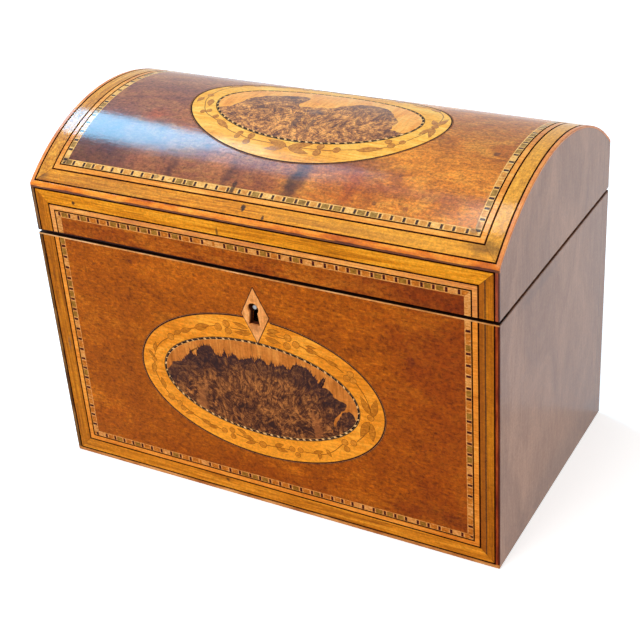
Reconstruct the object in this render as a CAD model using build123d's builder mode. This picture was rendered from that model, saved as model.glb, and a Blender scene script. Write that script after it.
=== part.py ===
from build123d import *
import math
import os

# An antique tea caddy with a domed, hinged lid and floral marquetry ovals, in millimetres.
# X runs to the right, Y to the back and Z up, with the origin under the middle of the base.

# Overall sizes
WIDTH = 190.0
DEPTH = 111.0
BODY_TOP = 102.7
LID_GAP = 1.2
HEIGHT = 144.8
DOME_RADIUS = 82.7

# Thicknesses of the layers, from the table up and from the outside in
BAIZE = 0.5
BAIZE_INSET = 1.5
BOTTOM_BOARD = 6.0
RIM = 0.6
VENEER = 0.8
FRONT_BOARD = 8.0
BOARD = 6.6
DOME_BOARD = 6.0

# Strips of the inlaid frame, in the order that they come in from an arris
EDGING = 1.4
EBONY_LINE = 0.55
CROSSBANDING = 5.2
BOXWOOD_STRING = 1.8
CHEQUER_BAND = 2.3

# Marquetry ovals: middle, then outer and inner half axes
FRONT_OVAL = (-1.0, 54.0)
FRONT_OVAL_OUTER = (52.6, 30.6)
FRONT_OVAL_INNER = (41.4, 19.6)
DOME_OVAL = (2.1, -2.6)
DOME_OVAL_OUTER = (52.2, 30.8)
DOME_OVAL_INNER = (41.2, 20.0)
ROPE_STRING = 1.1

# Escutcheon and keyhole
ESCUTCHEON_MIDDLE = (0.6, 86.0)
ESCUTCHEON_HALF = (5.7, 11.35)
ESCUTCHEON_RISE = 0.1
KEY_PIN_HEIGHT = 88.7
KEYHOLE_HEAD = 2.3
KEYHOLE_BOTTOM = 82.0
KEYHOLE_NECK = 1.5
KEYHOLE_FLARE = 2.4

# Dovetails of the corners
TAIL_SLOPE = 1.2
BODY_TAILS = 4
BODY_TAIL_HALF = 7.5
LID_TAIL_HALF = 2.6
LID_TAIL_RISE = 5.6

# Tea compartments, their linings and their lift-off lids
PARTITION = 5.0
PARTITION_TOP = 92.3
FOIL = 0.5
FILLET = 3.0
FILLET_LOW = 83.0
INNER_LID_LOW = 88.0
INNER_LID = 4.0
INNER_LID_PLAY = 0.35
INNER_LID_ROUND = 0.8
KNOB_RISE = 11.4
KNOB_SHANK = 2.0
KNOB_FOOT = 4.2
KNOB_FOOT_RISE = 0.8
KNOB_WAIST = 2.1
KNOB_WAIST_RISE = 3.4
KNOB_BALL = 4.6
KNOB_BALL_RISE = 5.8
KNOB_BALL_BAND = 1.8
KNOB_NIPPLE = 1.6
KNOB_NIPPLE_RISE = 1.6

# Box lock: plate, case, bolt and the link plate's two eyes
LOCK_PLATE = 1.2
LOCK_PLATE_HALF = 24.0
LOCK_PLATE_LOW = 76.0
LOCK_CASE_HALF = 20.0
LOCK_CASE_LOW = 79.0
LOCK_WALL = 1.0
LOCK_CAP = 0.7
LOCK_DEPTH = 6.2
BOLT_LOW = 94.0
BOLT_FLOOR = 96.5
BOLT_LEFT = -17.5
BOLT_RIGHT = 13.5
BOLT_PLAY = 0.3
BOLT_TRAVEL = 4.0
TALON = (6.4, 3.0)
LINK_PLATE_FRONT_MARGIN = 0.4
LINK_PLATE_BACK_MARGIN = 0.6
EYE_X = 9.0
EYE_TONGUE = 1.6
EYE_HALF = 1.5
EYE_ROUND = 1.0
EYE_WALL = 0.65
EYE_TIP = 96.9
EYE_LOW = 98.2
EYE_HIGH = 100.9
FINGER_GAP = 0.5
FINGER_LOW = 98.6
FINGER_HIGH = 100.5
FINGER_HALF = 0.55
FINGER_ROOT = 1.0
DRILL_PIN = 1.1
DRILL_PIN_CHAMFER = 0.3
DRILL_PIN_SET_BACK = 1.2
SPRING_LEAF = 0.5
SPRING_HALF = 1.0
SPRING_TAIL = -17.0
SPRING_BEND = -14.0
SPRING_TIP = -8.0
SPRING_BOW = 2.4

# Butt hinges
HINGE_X = 58.0
HINGE_LENGTH = 30.0
HINGE_LEAF = 1.2
HINGE_LEAF_FRONT = 49.4
PIVOT_BEHIND = 0.15
KNUCKLE = 1.85
KNUCKLES = 3
KNUCKLE_GAP = 0.3
HINGE_PIN = 0.9
RUNNING_CLEARANCE = 0.05

# How far a cutting shape runs past the faces that it goes through
OVERCUT = 1.0

# Places that follow from the sizes above
LID_BOTTOM = BODY_TOP + LID_GAP
DOME_AXIS = HEIGHT - DOME_RADIUS
RIM_LOW = BODY_TOP - RIM
WALL_LOW = BAIZE + BOTTOM_BOARD
CARCASS_X = WIDTH / 2 - VENEER
CARCASS_Y = DEPTH / 2 - VENEER
INSIDE_X = CARCASS_X - BOARD
INSIDE_FRONT = FRONT_BOARD - CARCASS_Y
INSIDE_BACK = CARCASS_Y - BOARD
VENEER_RADIUS = DOME_RADIUS - VENEER
SOFFIT_RADIUS = VENEER_RADIUS - DOME_BOARD
ARC_HALF = DOME_RADIUS * math.asin(DEPTH / 2 / DOME_RADIUS)
ARRIS_TOP = DOME_AXIS + math.sqrt(DOME_RADIUS**2 - (DEPTH / 2) ** 2)
PIVOT_Y = DEPTH / 2 + PIVOT_BEHIND
PIVOT_Z = BODY_TOP + LID_GAP / 2
LOCK_FRONT = INSIDE_FRONT - LOCK_DEPTH
LOCK_CAVITY_FRONT = LOCK_FRONT + LOCK_CAP
LOCK_CAVITY_BACK = INSIDE_FRONT - LOCK_PLATE
LOCK_MIDDLE = (LOCK_CAVITY_FRONT + LOCK_CAVITY_BACK) / 2
SELVEDGE_LOW = BODY_TOP - LOCK_PLATE

# Insets of the frame's strips from the arris
BANDING_OUT = EDGING + EBONY_LINE
BANDING_IN = BANDING_OUT + CROSSBANDING
STRING_OUT = BANDING_IN + EBONY_LINE
STRING_IN = STRING_OUT + BOXWOOD_STRING
CHEQUER_OUT = STRING_IN + EBONY_LINE
CHEQUER_IN = CHEQUER_OUT + CHEQUER_BAND
FRAME_STRIPS = {
    "edging": [(0, EDGING)],
    "ebony_lines": [(EDGING, BANDING_OUT), (BANDING_IN, STRING_OUT), (STRING_IN, CHEQUER_OUT)],
    "crossbanding": [(BANDING_OUT, BANDING_IN)],
    "boxwood_string": [(STRING_OUT, STRING_IN)],
    "chequer_band": [(CHEQUER_OUT, CHEQUER_IN)],
}

FRONT_FACE = Plane.XZ.offset(DEPTH / 2)


def finish(part, name):
    """Label a finished piece and write it."""
    part.label = name
    export_step(part, f"parts/{name}.step")


def block(x_range, y_range, z_range, mode=Mode.ADD):
    """A rectangular block between two limits on each axis."""
    with BuildSketch(Plane.XY.offset(z_range[0])) as plan:
        with Locations((sum(x_range) / 2, sum(y_range) / 2)):
            Rectangle(x_range[1] - x_range[0], y_range[1] - y_range[0])
    extrude(to_extrude=plan.sketch, amount=z_range[1] - z_range[0], mode=mode)


def rod(x_range, radius, mode=Mode.ADD):
    """A round rod along the hinge line between two limits in X."""
    with BuildSketch(Plane.YZ.offset(x_range[0])) as end:
        with Locations((PIVOT_Y, PIVOT_Z)):
            Circle(radius)
    extrude(to_extrude=end.sketch, amount=x_range[1] - x_range[0], mode=mode)


def front_rectangle(inset, low, high):
    """The front's outline from low to high, drawn in from both sides."""
    with BuildSketch(FRONT_FACE) as outline:
        with Locations((0, (low + high) / 2)):
            Rectangle(WIDTH - 2 * inset, high - low)
    return outline.sketch


def oval_on_front(half_axes):
    """The front's oval at one of its sizes."""
    with BuildSketch(FRONT_FACE) as oval:
        with Locations(FRONT_OVAL):
            Ellipse(*half_axes)
    return oval.sketch


def oval_over_dome(half_axes, mode):
    """An upright oval column that cuts or keeps the veneer over the dome."""
    with BuildSketch(Plane.XY.offset(DOME_AXIS)) as oval:
        with Locations(DOME_OVAL):
            Ellipse(*half_axes)
    extrude(to_extrude=oval.sketch, amount=DOME_RADIUS + OVERCUT, mode=mode)


def grown(half_axes, amount):
    """Half axes of an oval made larger all round."""
    return (half_axes[0] + amount, half_axes[1] + amount)


def diamond():
    """The escutcheon's outline."""
    half_wide, half_tall = ESCUTCHEON_HALF
    with BuildSketch(FRONT_FACE) as outline:
        with Locations(ESCUTCHEON_MIDDLE):
            Polygon((-half_wide, 0), (0, -half_tall), (half_wide, 0), (0, half_tall), align=None)
    return outline.sketch


def cut_keyhole():
    """The round head and flared slot of the keyhole, through the front to the lock's plate."""
    with BuildSketch(FRONT_FACE) as opening:
        with BuildLine():
            Polyline(
                (-KEYHOLE_NECK, KEY_PIN_HEIGHT),
                (-KEYHOLE_FLARE, KEYHOLE_BOTTOM),
                (KEYHOLE_FLARE, KEYHOLE_BOTTOM),
                (KEYHOLE_NECK, KEY_PIN_HEIGHT),
                close=True,
            )
        make_face()
        with Locations((0, KEY_PIN_HEIGHT)):
            Circle(KEYHOLE_HEAD)
    extrude(to_extrude=opening.sketch, amount=-(DEPTH / 2 + LOCK_CAVITY_BACK), mode=Mode.SUBTRACT)
    extrude(to_extrude=opening.sketch, amount=ESCUTCHEON_RISE, mode=Mode.SUBTRACT)


def lid_section(front, back, radius, low=LID_BOTTOM):
    """End view of the lid between two upright planes, under an arc about the dome's axis."""

    def on_arc(y):
        return (y, DOME_AXIS + math.sqrt(radius**2 - y**2))

    with BuildSketch(Plane.YZ) as section:
        with BuildLine():
            Polyline(on_arc(front), (front, low), (back, low), on_arc(back))
            ThreePointArc(on_arc(front), on_arc((front + back) / 2), on_arc(back))
        make_face()
    return section.sketch


def dome_sheet(inset, outer, inner, mode=Mode.ADD):
    """A sheet over the dome between two radii, drawn in along the arc and from both ends."""
    half_angle = (ARC_HALF - inset) / DOME_RADIUS
    if inset:
        side = [(r * math.sin(half_angle), DOME_AXIS + r * math.cos(half_angle)) for r in (inner, outer)]
    else:
        side = [(DEPTH / 2, DOME_AXIS + math.sqrt(r**2 - (DEPTH / 2) ** 2)) for r in (inner, outer)]
    other = [(-y, z) for y, z in side]
    with BuildSketch(Plane.YZ) as section:
        with BuildLine():
            ThreePointArc(other[1], (0, DOME_AXIS + outer), side[1])
            Line(side[1], side[0])
            ThreePointArc(side[0], (0, DOME_AXIS + inner), other[0])
            Line(other[0], other[1])
        make_face()
    extrude(to_extrude=section.sketch, amount=WIDTH / 2 - inset, both=True, mode=mode)


def tails(root, end, heights, half, x_range, mode):
    """Dovetails of an end board, widening from their root towards the corner."""
    with BuildSketch(Plane.YZ.offset(x_range[0])) as outline:
        for z in heights:
            with BuildLine():
                Polyline(
                    (root, z - half),
                    (end, z - half - TAIL_SLOPE),
                    (end, z + half + TAIL_SLOPE),
                    (root, z + half),
                    close=True,
                )
            make_face()
    extrude(to_extrude=outline.sketch, amount=x_range[1] - x_range[0], mode=mode)


def cut_corner_sockets(root, end, heights, half):
    """Sockets for the dovetails at both ends of a front or back board."""
    for x_range in ((-CARCASS_X, -INSIDE_X), (INSIDE_X, CARCASS_X)):
        tails(root, end, heights, half, x_range, Mode.SUBTRACT)


def cut_hinges(leaf_range):
    """Chiselled mortises for the leaves and the knuckles of both hinges."""
    half = HINGE_LENGTH / 2
    hollow = KNUCKLE + KNUCKLE_GAP
    for x in (-HINGE_X, HINGE_X):
        length = (x - half, x + half)
        block(length, (HINGE_LEAF_FRONT, DEPTH / 2), leaf_range, Mode.SUBTRACT)
        knuckle_y = (PIVOT_Y - hollow, DEPTH / 2)
        block(length, knuckle_y, (PIVOT_Z - hollow, PIVOT_Z + hollow), Mode.SUBTRACT)


def build_leaf(x, leaf_range, first, bore):
    """One leaf with every second knuckle, notched round the knuckles of the other leaf."""
    pitch = (HINGE_LENGTH + KNUCKLE_GAP) / KNUCKLES
    start = x - HINGE_LENGTH / 2
    ranges = [(start + i * pitch, start + (i + 1) * pitch - KNUCKLE_GAP) for i in range(KNUCKLES)]
    block((start, start + HINGE_LENGTH), (HINGE_LEAF_FRONT, PIVOT_Y), leaf_range)
    for own in ranges[first::2]:
        rod(own, KNUCKLE)
    for other in ranges[1 - first :: 2]:
        notch = (max(other[0] - KNUCKLE_GAP, start), min(other[1] + KNUCKLE_GAP, start + HINGE_LENGTH))
        block(notch, (PIVOT_Y - KNUCKLE - KNUCKLE_GAP, PIVOT_Y), leaf_range, Mode.SUBTRACT)
    rod((start, start + HINGE_LENGTH), bore, Mode.SUBTRACT)


os.makedirs("parts", exist_ok=True)

BODY_LEAF = (BODY_TOP - HINGE_LEAF, BODY_TOP)
LID_LEAF = (LID_BOTTOM, LID_BOTTOM + HINGE_LEAF)
wall_height = RIM_LOW - WALL_LOW
BODY_TAIL_HEIGHTS = [WALL_LOW + wall_height * (i + 0.5) / BODY_TAILS for i in range(BODY_TAILS)]
LID_TAIL_HEIGHTS = [LID_BOTTOM + LID_TAIL_RISE]

# Carcass of the body
baize_half = (WIDTH / 2 - BAIZE_INSET, DEPTH / 2 - BAIZE_INSET)
with BuildPart() as base_baize:
    block((-baize_half[0], baize_half[0]), (-baize_half[1], baize_half[1]), (0, BAIZE))
finish(base_baize.part, "base_baize")

with BuildPart() as bottom_board:
    block((-CARCASS_X, CARCASS_X), (-CARCASS_Y, CARCASS_Y), (BAIZE, WALL_LOW))
finish(bottom_board.part, "bottom_board")

with BuildPart() as front_board:
    block((-CARCASS_X, CARCASS_X), (-CARCASS_Y, INSIDE_FRONT), (WALL_LOW, RIM_LOW))
    cut_corner_sockets(INSIDE_FRONT, -CARCASS_Y, BODY_TAIL_HEIGHTS, BODY_TAIL_HALF)
    plate_x = (-LOCK_PLATE_HALF, LOCK_PLATE_HALF)
    case_x = (-LOCK_CASE_HALF, LOCK_CASE_HALF)
    block(plate_x, (LOCK_CAVITY_BACK, INSIDE_FRONT), (LOCK_PLATE_LOW, RIM_LOW), Mode.SUBTRACT)
    block(case_x, (LOCK_FRONT, INSIDE_FRONT), (LOCK_CASE_LOW, RIM_LOW), Mode.SUBTRACT)
    block(plate_x, (LOCK_FRONT, INSIDE_FRONT), (SELVEDGE_LOW, RIM_LOW), Mode.SUBTRACT)
    cut_keyhole()
finish(front_board.part, "front_board")

with BuildPart() as back_board:
    block((-CARCASS_X, CARCASS_X), (INSIDE_BACK, CARCASS_Y), (WALL_LOW, RIM_LOW))
    cut_corner_sockets(INSIDE_BACK, CARCASS_Y, BODY_TAIL_HEIGHTS, BODY_TAIL_HALF)
    cut_hinges(BODY_LEAF)
finish(back_board.part, "back_board")

for name, x_range in (("left_board", (-CARCASS_X, -INSIDE_X)), ("right_board", (INSIDE_X, CARCASS_X))):
    with BuildPart() as end_board:
        block(x_range, (INSIDE_FRONT, INSIDE_BACK), (WALL_LOW, RIM_LOW))
        tails(INSIDE_FRONT, -CARCASS_Y, BODY_TAIL_HEIGHTS, BODY_TAIL_HALF, x_range, Mode.ADD)
        tails(INSIDE_BACK, CARCASS_Y, BODY_TAIL_HEIGHTS, BODY_TAIL_HALF, x_range, Mode.ADD)
    finish(end_board.part, name)

with BuildPart() as rim_edging:
    block((-WIDTH / 2, WIDTH / 2), (-DEPTH / 2, DEPTH / 2), (RIM_LOW, BODY_TOP))
    block((-INSIDE_X, INSIDE_X), (INSIDE_FRONT, INSIDE_BACK), (RIM_LOW, BODY_TOP), Mode.SUBTRACT)
    block(plate_x, (LOCK_FRONT, INSIDE_FRONT), (RIM_LOW, BODY_TOP), Mode.SUBTRACT)
    cut_hinges(BODY_LEAF)
finish(rim_edging.part, "rim_edging")

# Plain veneers of the ends and the back
for name, x_range in (("left_veneer", (-WIDTH / 2, -CARCASS_X)), ("right_veneer", (CARCASS_X, WIDTH / 2))):
    with BuildPart() as end_veneer:
        block(x_range, (-CARCASS_Y, DEPTH / 2), (BAIZE, RIM_LOW))
    finish(end_veneer.part, name)

with BuildPart() as back_veneer:
    block((-CARCASS_X, CARCASS_X), (CARCASS_Y, DEPTH / 2), (BAIZE, RIM_LOW))
    cut_hinges(BODY_LEAF)
finish(back_veneer.part, "back_veneer")

# Inlaid frame of the body's front: up both sides and along the bottom
for name, strips in FRAME_STRIPS.items():
    with BuildPart() as front_strip:
        for outer, inner in strips:
            extrude(to_extrude=front_rectangle(outer, BAIZE + outer, RIM_LOW), amount=-VENEER)
            hole = front_rectangle(inner, BAIZE + inner, RIM_LOW)
            extrude(to_extrude=hole, amount=-VENEER, mode=Mode.SUBTRACT)
    finish(front_strip.part, f"front_{name}")

with BuildPart() as front_veneer:
    extrude(to_extrude=front_rectangle(CHEQUER_IN, BAIZE + CHEQUER_IN, RIM_LOW), amount=-VENEER)
    extrude(to_extrude=oval_on_front(FRONT_OVAL_OUTER), amount=-VENEER, mode=Mode.SUBTRACT)
    extrude(to_extrude=diamond(), amount=-VENEER, mode=Mode.SUBTRACT)
finish(front_veneer.part, "front_veneer")

with BuildPart() as front_oval_border:
    extrude(to_extrude=oval_on_front(FRONT_OVAL_OUTER), amount=-VENEER)
    hole = oval_on_front(grown(FRONT_OVAL_INNER, ROPE_STRING))
    extrude(to_extrude=hole, amount=-VENEER, mode=Mode.SUBTRACT)
    extrude(to_extrude=diamond(), amount=-VENEER, mode=Mode.SUBTRACT)
finish(front_oval_border.part, "front_oval_border")

with BuildPart() as front_rope_string:
    extrude(to_extrude=oval_on_front(grown(FRONT_OVAL_INNER, ROPE_STRING)), amount=-VENEER)
    extrude(to_extrude=oval_on_front(FRONT_OVAL_INNER), amount=-VENEER, mode=Mode.SUBTRACT)
finish(front_rope_string.part, "front_rope_string")

with BuildPart() as front_oval_panel:
    extrude(to_extrude=oval_on_front(FRONT_OVAL_INNER), amount=-VENEER)
finish(front_oval_panel.part, "front_oval_panel")

# The diamond stands a little proud of the shrunken veneers round it
with BuildPart() as escutcheon:
    extrude(to_extrude=diamond(), amount=-VENEER)
    extrude(to_extrude=diamond(), amount=ESCUTCHEON_RISE)
    cut_keyhole()
finish(escutcheon.part, "escutcheon")

# Tea compartments
with BuildPart() as partition:
    block((-PARTITION / 2, PARTITION / 2), (INSIDE_FRONT, INSIDE_BACK), (WALL_LOW, PARTITION_TOP))
finish(partition.part, "partition")

for side, x_range in (("left", (-INSIDE_X, -PARTITION / 2)), ("right", (PARTITION / 2, INSIDE_X))):
    with BuildPart() as lining:
        block(x_range, (INSIDE_FRONT, INSIDE_BACK), (WALL_LOW, FILLET_LOW))
        offset(amount=-FOIL, openings=lining.faces().sort_by(Axis.Z)[-1])
    finish(lining.part, f"tea_lining_{side}")

    with BuildPart() as fillets:
        block(x_range, (INSIDE_FRONT, INSIDE_BACK), (FILLET_LOW, INNER_LID_LOW))
        inner_x = (x_range[0] + FILLET, x_range[1] - FILLET)
        inner_y = (INSIDE_FRONT + FILLET, INSIDE_BACK - FILLET)
        block(inner_x, inner_y, (FILLET_LOW, INNER_LID_LOW), Mode.SUBTRACT)
    finish(fillets.part, f"lid_fillets_{side}")

    lid_top = INNER_LID_LOW + INNER_LID
    middle = (sum(x_range) / 2, (INSIDE_FRONT + INSIDE_BACK) / 2)
    with BuildPart() as inner_lid:
        lid_x = (x_range[0] + INNER_LID_PLAY, x_range[1] - INNER_LID_PLAY)
        lid_y = (INSIDE_FRONT + INNER_LID_PLAY, INSIDE_BACK - INNER_LID_PLAY)
        block(lid_x, lid_y, (INNER_LID_LOW, lid_top))
        fillet(inner_lid.edges().group_by(Axis.Z)[-1], radius=INNER_LID_ROUND)
        with BuildSketch(Plane.XY.offset(INNER_LID_LOW)):
            with Locations(middle):
                Circle(KNOB_SHANK)
        extrude(amount=INNER_LID, mode=Mode.SUBTRACT)
    finish(inner_lid.part, f"inner_lid_{side}")

    # A turned knob, drawn from its middle: shank, foot, waist, ball and tip
    with BuildPart() as knob:
        with BuildSketch(Plane((*middle, lid_top), x_dir=(1, 0, 0), z_dir=(0, -1, 0))):
            with BuildLine():
                Polyline(
                    (0, KNOB_RISE),
                    (0, -INNER_LID),
                    (KNOB_SHANK, -INNER_LID),
                    (KNOB_SHANK, 0),
                    (KNOB_FOOT, 0),
                    (KNOB_FOOT, KNOB_FOOT_RISE),
                    (KNOB_WAIST, KNOB_FOOT_RISE),
                    (KNOB_WAIST, KNOB_WAIST_RISE),
                    (KNOB_BALL, KNOB_BALL_RISE),
                    (KNOB_BALL, KNOB_BALL_RISE + KNOB_BALL_BAND),
                    (KNOB_NIPPLE, KNOB_RISE - KNOB_NIPPLE_RISE),
                    (KNOB_NIPPLE, KNOB_RISE),
                    close=True,
                )
            make_face()
        revolve(axis=Axis((*middle, 0), (0, 0, 1)))
    finish(knob.part, f"knob_{side}")

# Box lock in the body's front board
with BuildPart() as lock_case:
    block(plate_x, (LOCK_CAVITY_BACK, INSIDE_FRONT), (LOCK_PLATE_LOW, BODY_TOP))
    block(plate_x, (LOCK_FRONT, INSIDE_FRONT), (SELVEDGE_LOW, BODY_TOP))
    block(case_x, (LOCK_CAVITY_FRONT, INSIDE_FRONT), (LOCK_CASE_LOW, SELVEDGE_LOW))
    cavity_x = (-LOCK_CASE_HALF + LOCK_WALL, LOCK_CASE_HALF - LOCK_WALL)
    cavity_y = (LOCK_CAVITY_FRONT, LOCK_CAVITY_BACK)
    block(cavity_x, cavity_y, (LOCK_CASE_LOW + LOCK_WALL, SELVEDGE_LOW), Mode.SUBTRACT)
    for x in (-EYE_X, EYE_X):
        slot = (x - EYE_TONGUE / 2 - FINGER_GAP, x + EYE_TONGUE / 2 + FINGER_GAP)
        block(slot, cavity_y, (SELVEDGE_LOW, BODY_TOP), Mode.SUBTRACT)
finish(lock_case.part, "lock_case")

with BuildPart() as lock_cap:
    block(case_x, (LOCK_FRONT, LOCK_CAVITY_FRONT), (LOCK_CASE_LOW, SELVEDGE_LOW))
    cut_keyhole()
finish(lock_cap.part, "lock_cap")

# The hollow key slides over this pin
with BuildPart() as drill_pin:
    with BuildSketch(Plane.XZ.offset(-LOCK_CAVITY_BACK)):
        with Locations((0, KEY_PIN_HEIGHT)):
            Circle(DRILL_PIN)
    extrude(amount=DEPTH / 2 - DRILL_PIN_SET_BACK + LOCK_CAVITY_BACK)
    chamfer(drill_pin.edges().group_by(Axis.Y)[0], length=DRILL_PIN_CHAMFER)
finish(drill_pin.part, "drill_pin")

with BuildPart() as lock_bolt:
    bolt_y = (LOCK_CAVITY_FRONT + BOLT_PLAY, LOCK_CAVITY_BACK - BOLT_PLAY)
    block((BOLT_LEFT, BOLT_RIGHT), bolt_y, (BOLT_LOW, SELVEDGE_LOW - BOLT_PLAY))
    for x in (-EYE_X, EYE_X):
        tongue_left = x - EYE_TONGUE / 2
        tongue_right = x + EYE_TONGUE / 2
        notch_left = tongue_left - FINGER_GAP - BOLT_TRAVEL
        notch_right = tongue_right + FINGER_GAP
        block((notch_left, notch_right), bolt_y, (BOLT_FLOOR, SELVEDGE_LOW), Mode.SUBTRACT)
        finger_y = (LOCK_MIDDLE - FINGER_HALF, LOCK_MIDDLE + FINGER_HALF)
        finger_x = (notch_left - FINGER_ROOT, tongue_left - FINGER_GAP)
        block(finger_x, finger_y, (FINGER_LOW, FINGER_HIGH))
    # Talon, where the key's bit pushes
    with BuildSketch(Plane.XZ.offset(-LOCK_MIDDLE)) as talon:
        with Locations((-BOLT_TRAVEL / 2, BOLT_LOW)):
            SlotOverall(*TALON)
    extrude(to_extrude=talon.sketch, amount=LOCK_DEPTH / 2, both=True, mode=Mode.SUBTRACT)
finish(lock_bolt.part, "lock_bolt")

# A bowed leaf spring under the bolt's tail
with BuildPart() as bolt_spring:
    with BuildSketch(Plane.XZ.offset(-LOCK_MIDDLE)):
        with BuildLine():
            flat = Line(
                (SPRING_TAIL, BOLT_LOW - SPRING_LEAF / 2),
                (SPRING_BEND, BOLT_LOW - SPRING_LEAF / 2),
            )
            TangentArc(flat @ 1, (SPRING_TIP, BOLT_LOW - SPRING_BOW), tangent=flat % 1)
        trace(line_width=SPRING_LEAF)
    extrude(amount=SPRING_HALF, both=True)
finish(bolt_spring.part, "bolt_spring")

# Hinges
for body, leaf_range, first, bore in (
    ("body", BODY_LEAF, 0, HINGE_PIN),
    ("lid", LID_LEAF, 1, HINGE_PIN + RUNNING_CLEARANCE),
):
    with BuildPart() as leaves:
        for x in (-HINGE_X, HINGE_X):
            build_leaf(x, leaf_range, first, bore)
    finish(leaves.part, f"hinge_leaves_{body}")

with BuildPart() as hinge_pins:
    for x in (-HINGE_X, HINGE_X):
        rod((x - HINGE_LENGTH / 2, x + HINGE_LENGTH / 2), HINGE_PIN)
finish(hinge_pins.part, "hinge_pins")

# Carcass of the lid
with BuildPart() as lid_front_rail:
    extrude(to_extrude=lid_section(-CARCASS_Y, INSIDE_FRONT, SOFFIT_RADIUS), amount=CARCASS_X, both=True)
    cut_corner_sockets(INSIDE_FRONT, -CARCASS_Y, LID_TAIL_HEIGHTS, LID_TAIL_HALF)
    link_y = (LOCK_FRONT + LINK_PLATE_FRONT_MARGIN, INSIDE_FRONT - LINK_PLATE_BACK_MARGIN)
    link_z = (LID_BOTTOM, LID_BOTTOM + LOCK_PLATE)
    block(plate_x, link_y, link_z, Mode.SUBTRACT)
finish(lid_front_rail.part, "lid_front_rail")

with BuildPart() as lid_back_rail:
    extrude(to_extrude=lid_section(INSIDE_BACK, CARCASS_Y, SOFFIT_RADIUS), amount=CARCASS_X, both=True)
    cut_corner_sockets(INSIDE_BACK, CARCASS_Y, LID_TAIL_HEIGHTS, LID_TAIL_HALF)
    cut_hinges(LID_LEAF)
finish(lid_back_rail.part, "lid_back_rail")

for name, x_range in (("lid_left_end", (-CARCASS_X, -INSIDE_X)), ("lid_right_end", (INSIDE_X, CARCASS_X))):
    with BuildPart() as lid_end:
        extrude(to_extrude=lid_section(INSIDE_FRONT, INSIDE_BACK, SOFFIT_RADIUS), amount=WIDTH / 2, both=True)
        block(x_range, (INSIDE_FRONT, INSIDE_BACK), (LID_BOTTOM, HEIGHT), Mode.INTERSECT)
        tails(INSIDE_FRONT, -CARCASS_Y, LID_TAIL_HEIGHTS, LID_TAIL_HALF, x_range, Mode.ADD)
        tails(INSIDE_BACK, CARCASS_Y, LID_TAIL_HEIGHTS, LID_TAIL_HALF, x_range, Mode.ADD)
    finish(lid_end.part, name)

with BuildPart() as dome_board:
    extrude(to_extrude=lid_section(-CARCASS_Y, CARCASS_Y, VENEER_RADIUS), amount=CARCASS_X, both=True)
    soffit = lid_section(-CARCASS_Y, CARCASS_Y, SOFFIT_RADIUS)
    extrude(to_extrude=soffit, amount=CARCASS_X, both=True, mode=Mode.SUBTRACT)
finish(dome_board.part, "dome_board")

with BuildPart() as link_plate:
    block(plate_x, link_y, link_z)
    for x in (-EYE_X, EYE_X):
        tongue_x = (x - EYE_TONGUE / 2, x + EYE_TONGUE / 2)
        block(tongue_x, (LOCK_MIDDLE - EYE_HALF, LOCK_MIDDLE + EYE_HALF), (EYE_TIP, link_z[1]))
    fillet(link_plate.edges().filter_by(Axis.X).group_by(Axis.Z)[0], radius=EYE_ROUND)
    for x in (-EYE_X, EYE_X):
        tongue_x = (x - EYE_TONGUE / 2, x + EYE_TONGUE / 2)
        eye_y = (LOCK_MIDDLE - EYE_HALF + EYE_WALL, LOCK_MIDDLE + EYE_HALF - EYE_WALL)
        block(tongue_x, eye_y, (EYE_LOW, EYE_HIGH), Mode.SUBTRACT)
finish(link_plate.part, "link_plate")

# Plain veneers of the lid
for name, x_range in (("lid_left_veneer", (-WIDTH / 2, -CARCASS_X)), ("lid_right_veneer", (CARCASS_X, WIDTH / 2))):
    with BuildPart() as lid_end_veneer:
        extrude(to_extrude=lid_section(-CARCASS_Y, DEPTH / 2, VENEER_RADIUS), amount=WIDTH / 2, both=True)
        block(x_range, (-DEPTH / 2, DEPTH / 2), (LID_BOTTOM, HEIGHT), Mode.INTERSECT)
    finish(lid_end_veneer.part, name)

with BuildPart() as lid_back_veneer:
    extrude(to_extrude=lid_section(CARCASS_Y, DEPTH / 2, VENEER_RADIUS), amount=CARCASS_X, both=True)
    cut_hinges(LID_LEAF)
finish(lid_back_veneer.part, "lid_back_veneer")

# Inlaid frames of the lid: up both sides and along the top of its front, and all round the dome
for name, strips in FRAME_STRIPS.items():
    with BuildPart() as lid_strip:
        for outer, inner in strips:
            extrude(to_extrude=front_rectangle(outer, LID_BOTTOM, ARRIS_TOP - outer), amount=-VENEER)
            hole = front_rectangle(inner, LID_BOTTOM, ARRIS_TOP - inner)
            extrude(to_extrude=hole, amount=-VENEER, mode=Mode.SUBTRACT)
        for outer, inner in strips:
            dome_sheet(outer, DOME_RADIUS, VENEER_RADIUS)
            dome_sheet(inner, DOME_RADIUS + OVERCUT, VENEER_RADIUS - OVERCUT, Mode.SUBTRACT)
    finish(lid_strip.part, f"lid_{name}")

with BuildPart() as lid_front_veneer:
    extrude(to_extrude=front_rectangle(CHEQUER_IN, LID_BOTTOM, ARRIS_TOP - CHEQUER_IN), amount=-VENEER)
finish(lid_front_veneer.part, "lid_front_veneer")

with BuildPart() as dome_veneer:
    dome_sheet(CHEQUER_IN, DOME_RADIUS, VENEER_RADIUS)
    oval_over_dome(DOME_OVAL_OUTER, Mode.SUBTRACT)
finish(dome_veneer.part, "dome_veneer")

with BuildPart() as dome_oval_border:
    dome_sheet(CHEQUER_IN, DOME_RADIUS, VENEER_RADIUS)
    oval_over_dome(DOME_OVAL_OUTER, Mode.INTERSECT)
    oval_over_dome(grown(DOME_OVAL_INNER, ROPE_STRING), Mode.SUBTRACT)
finish(dome_oval_border.part, "dome_oval_border")

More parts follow.
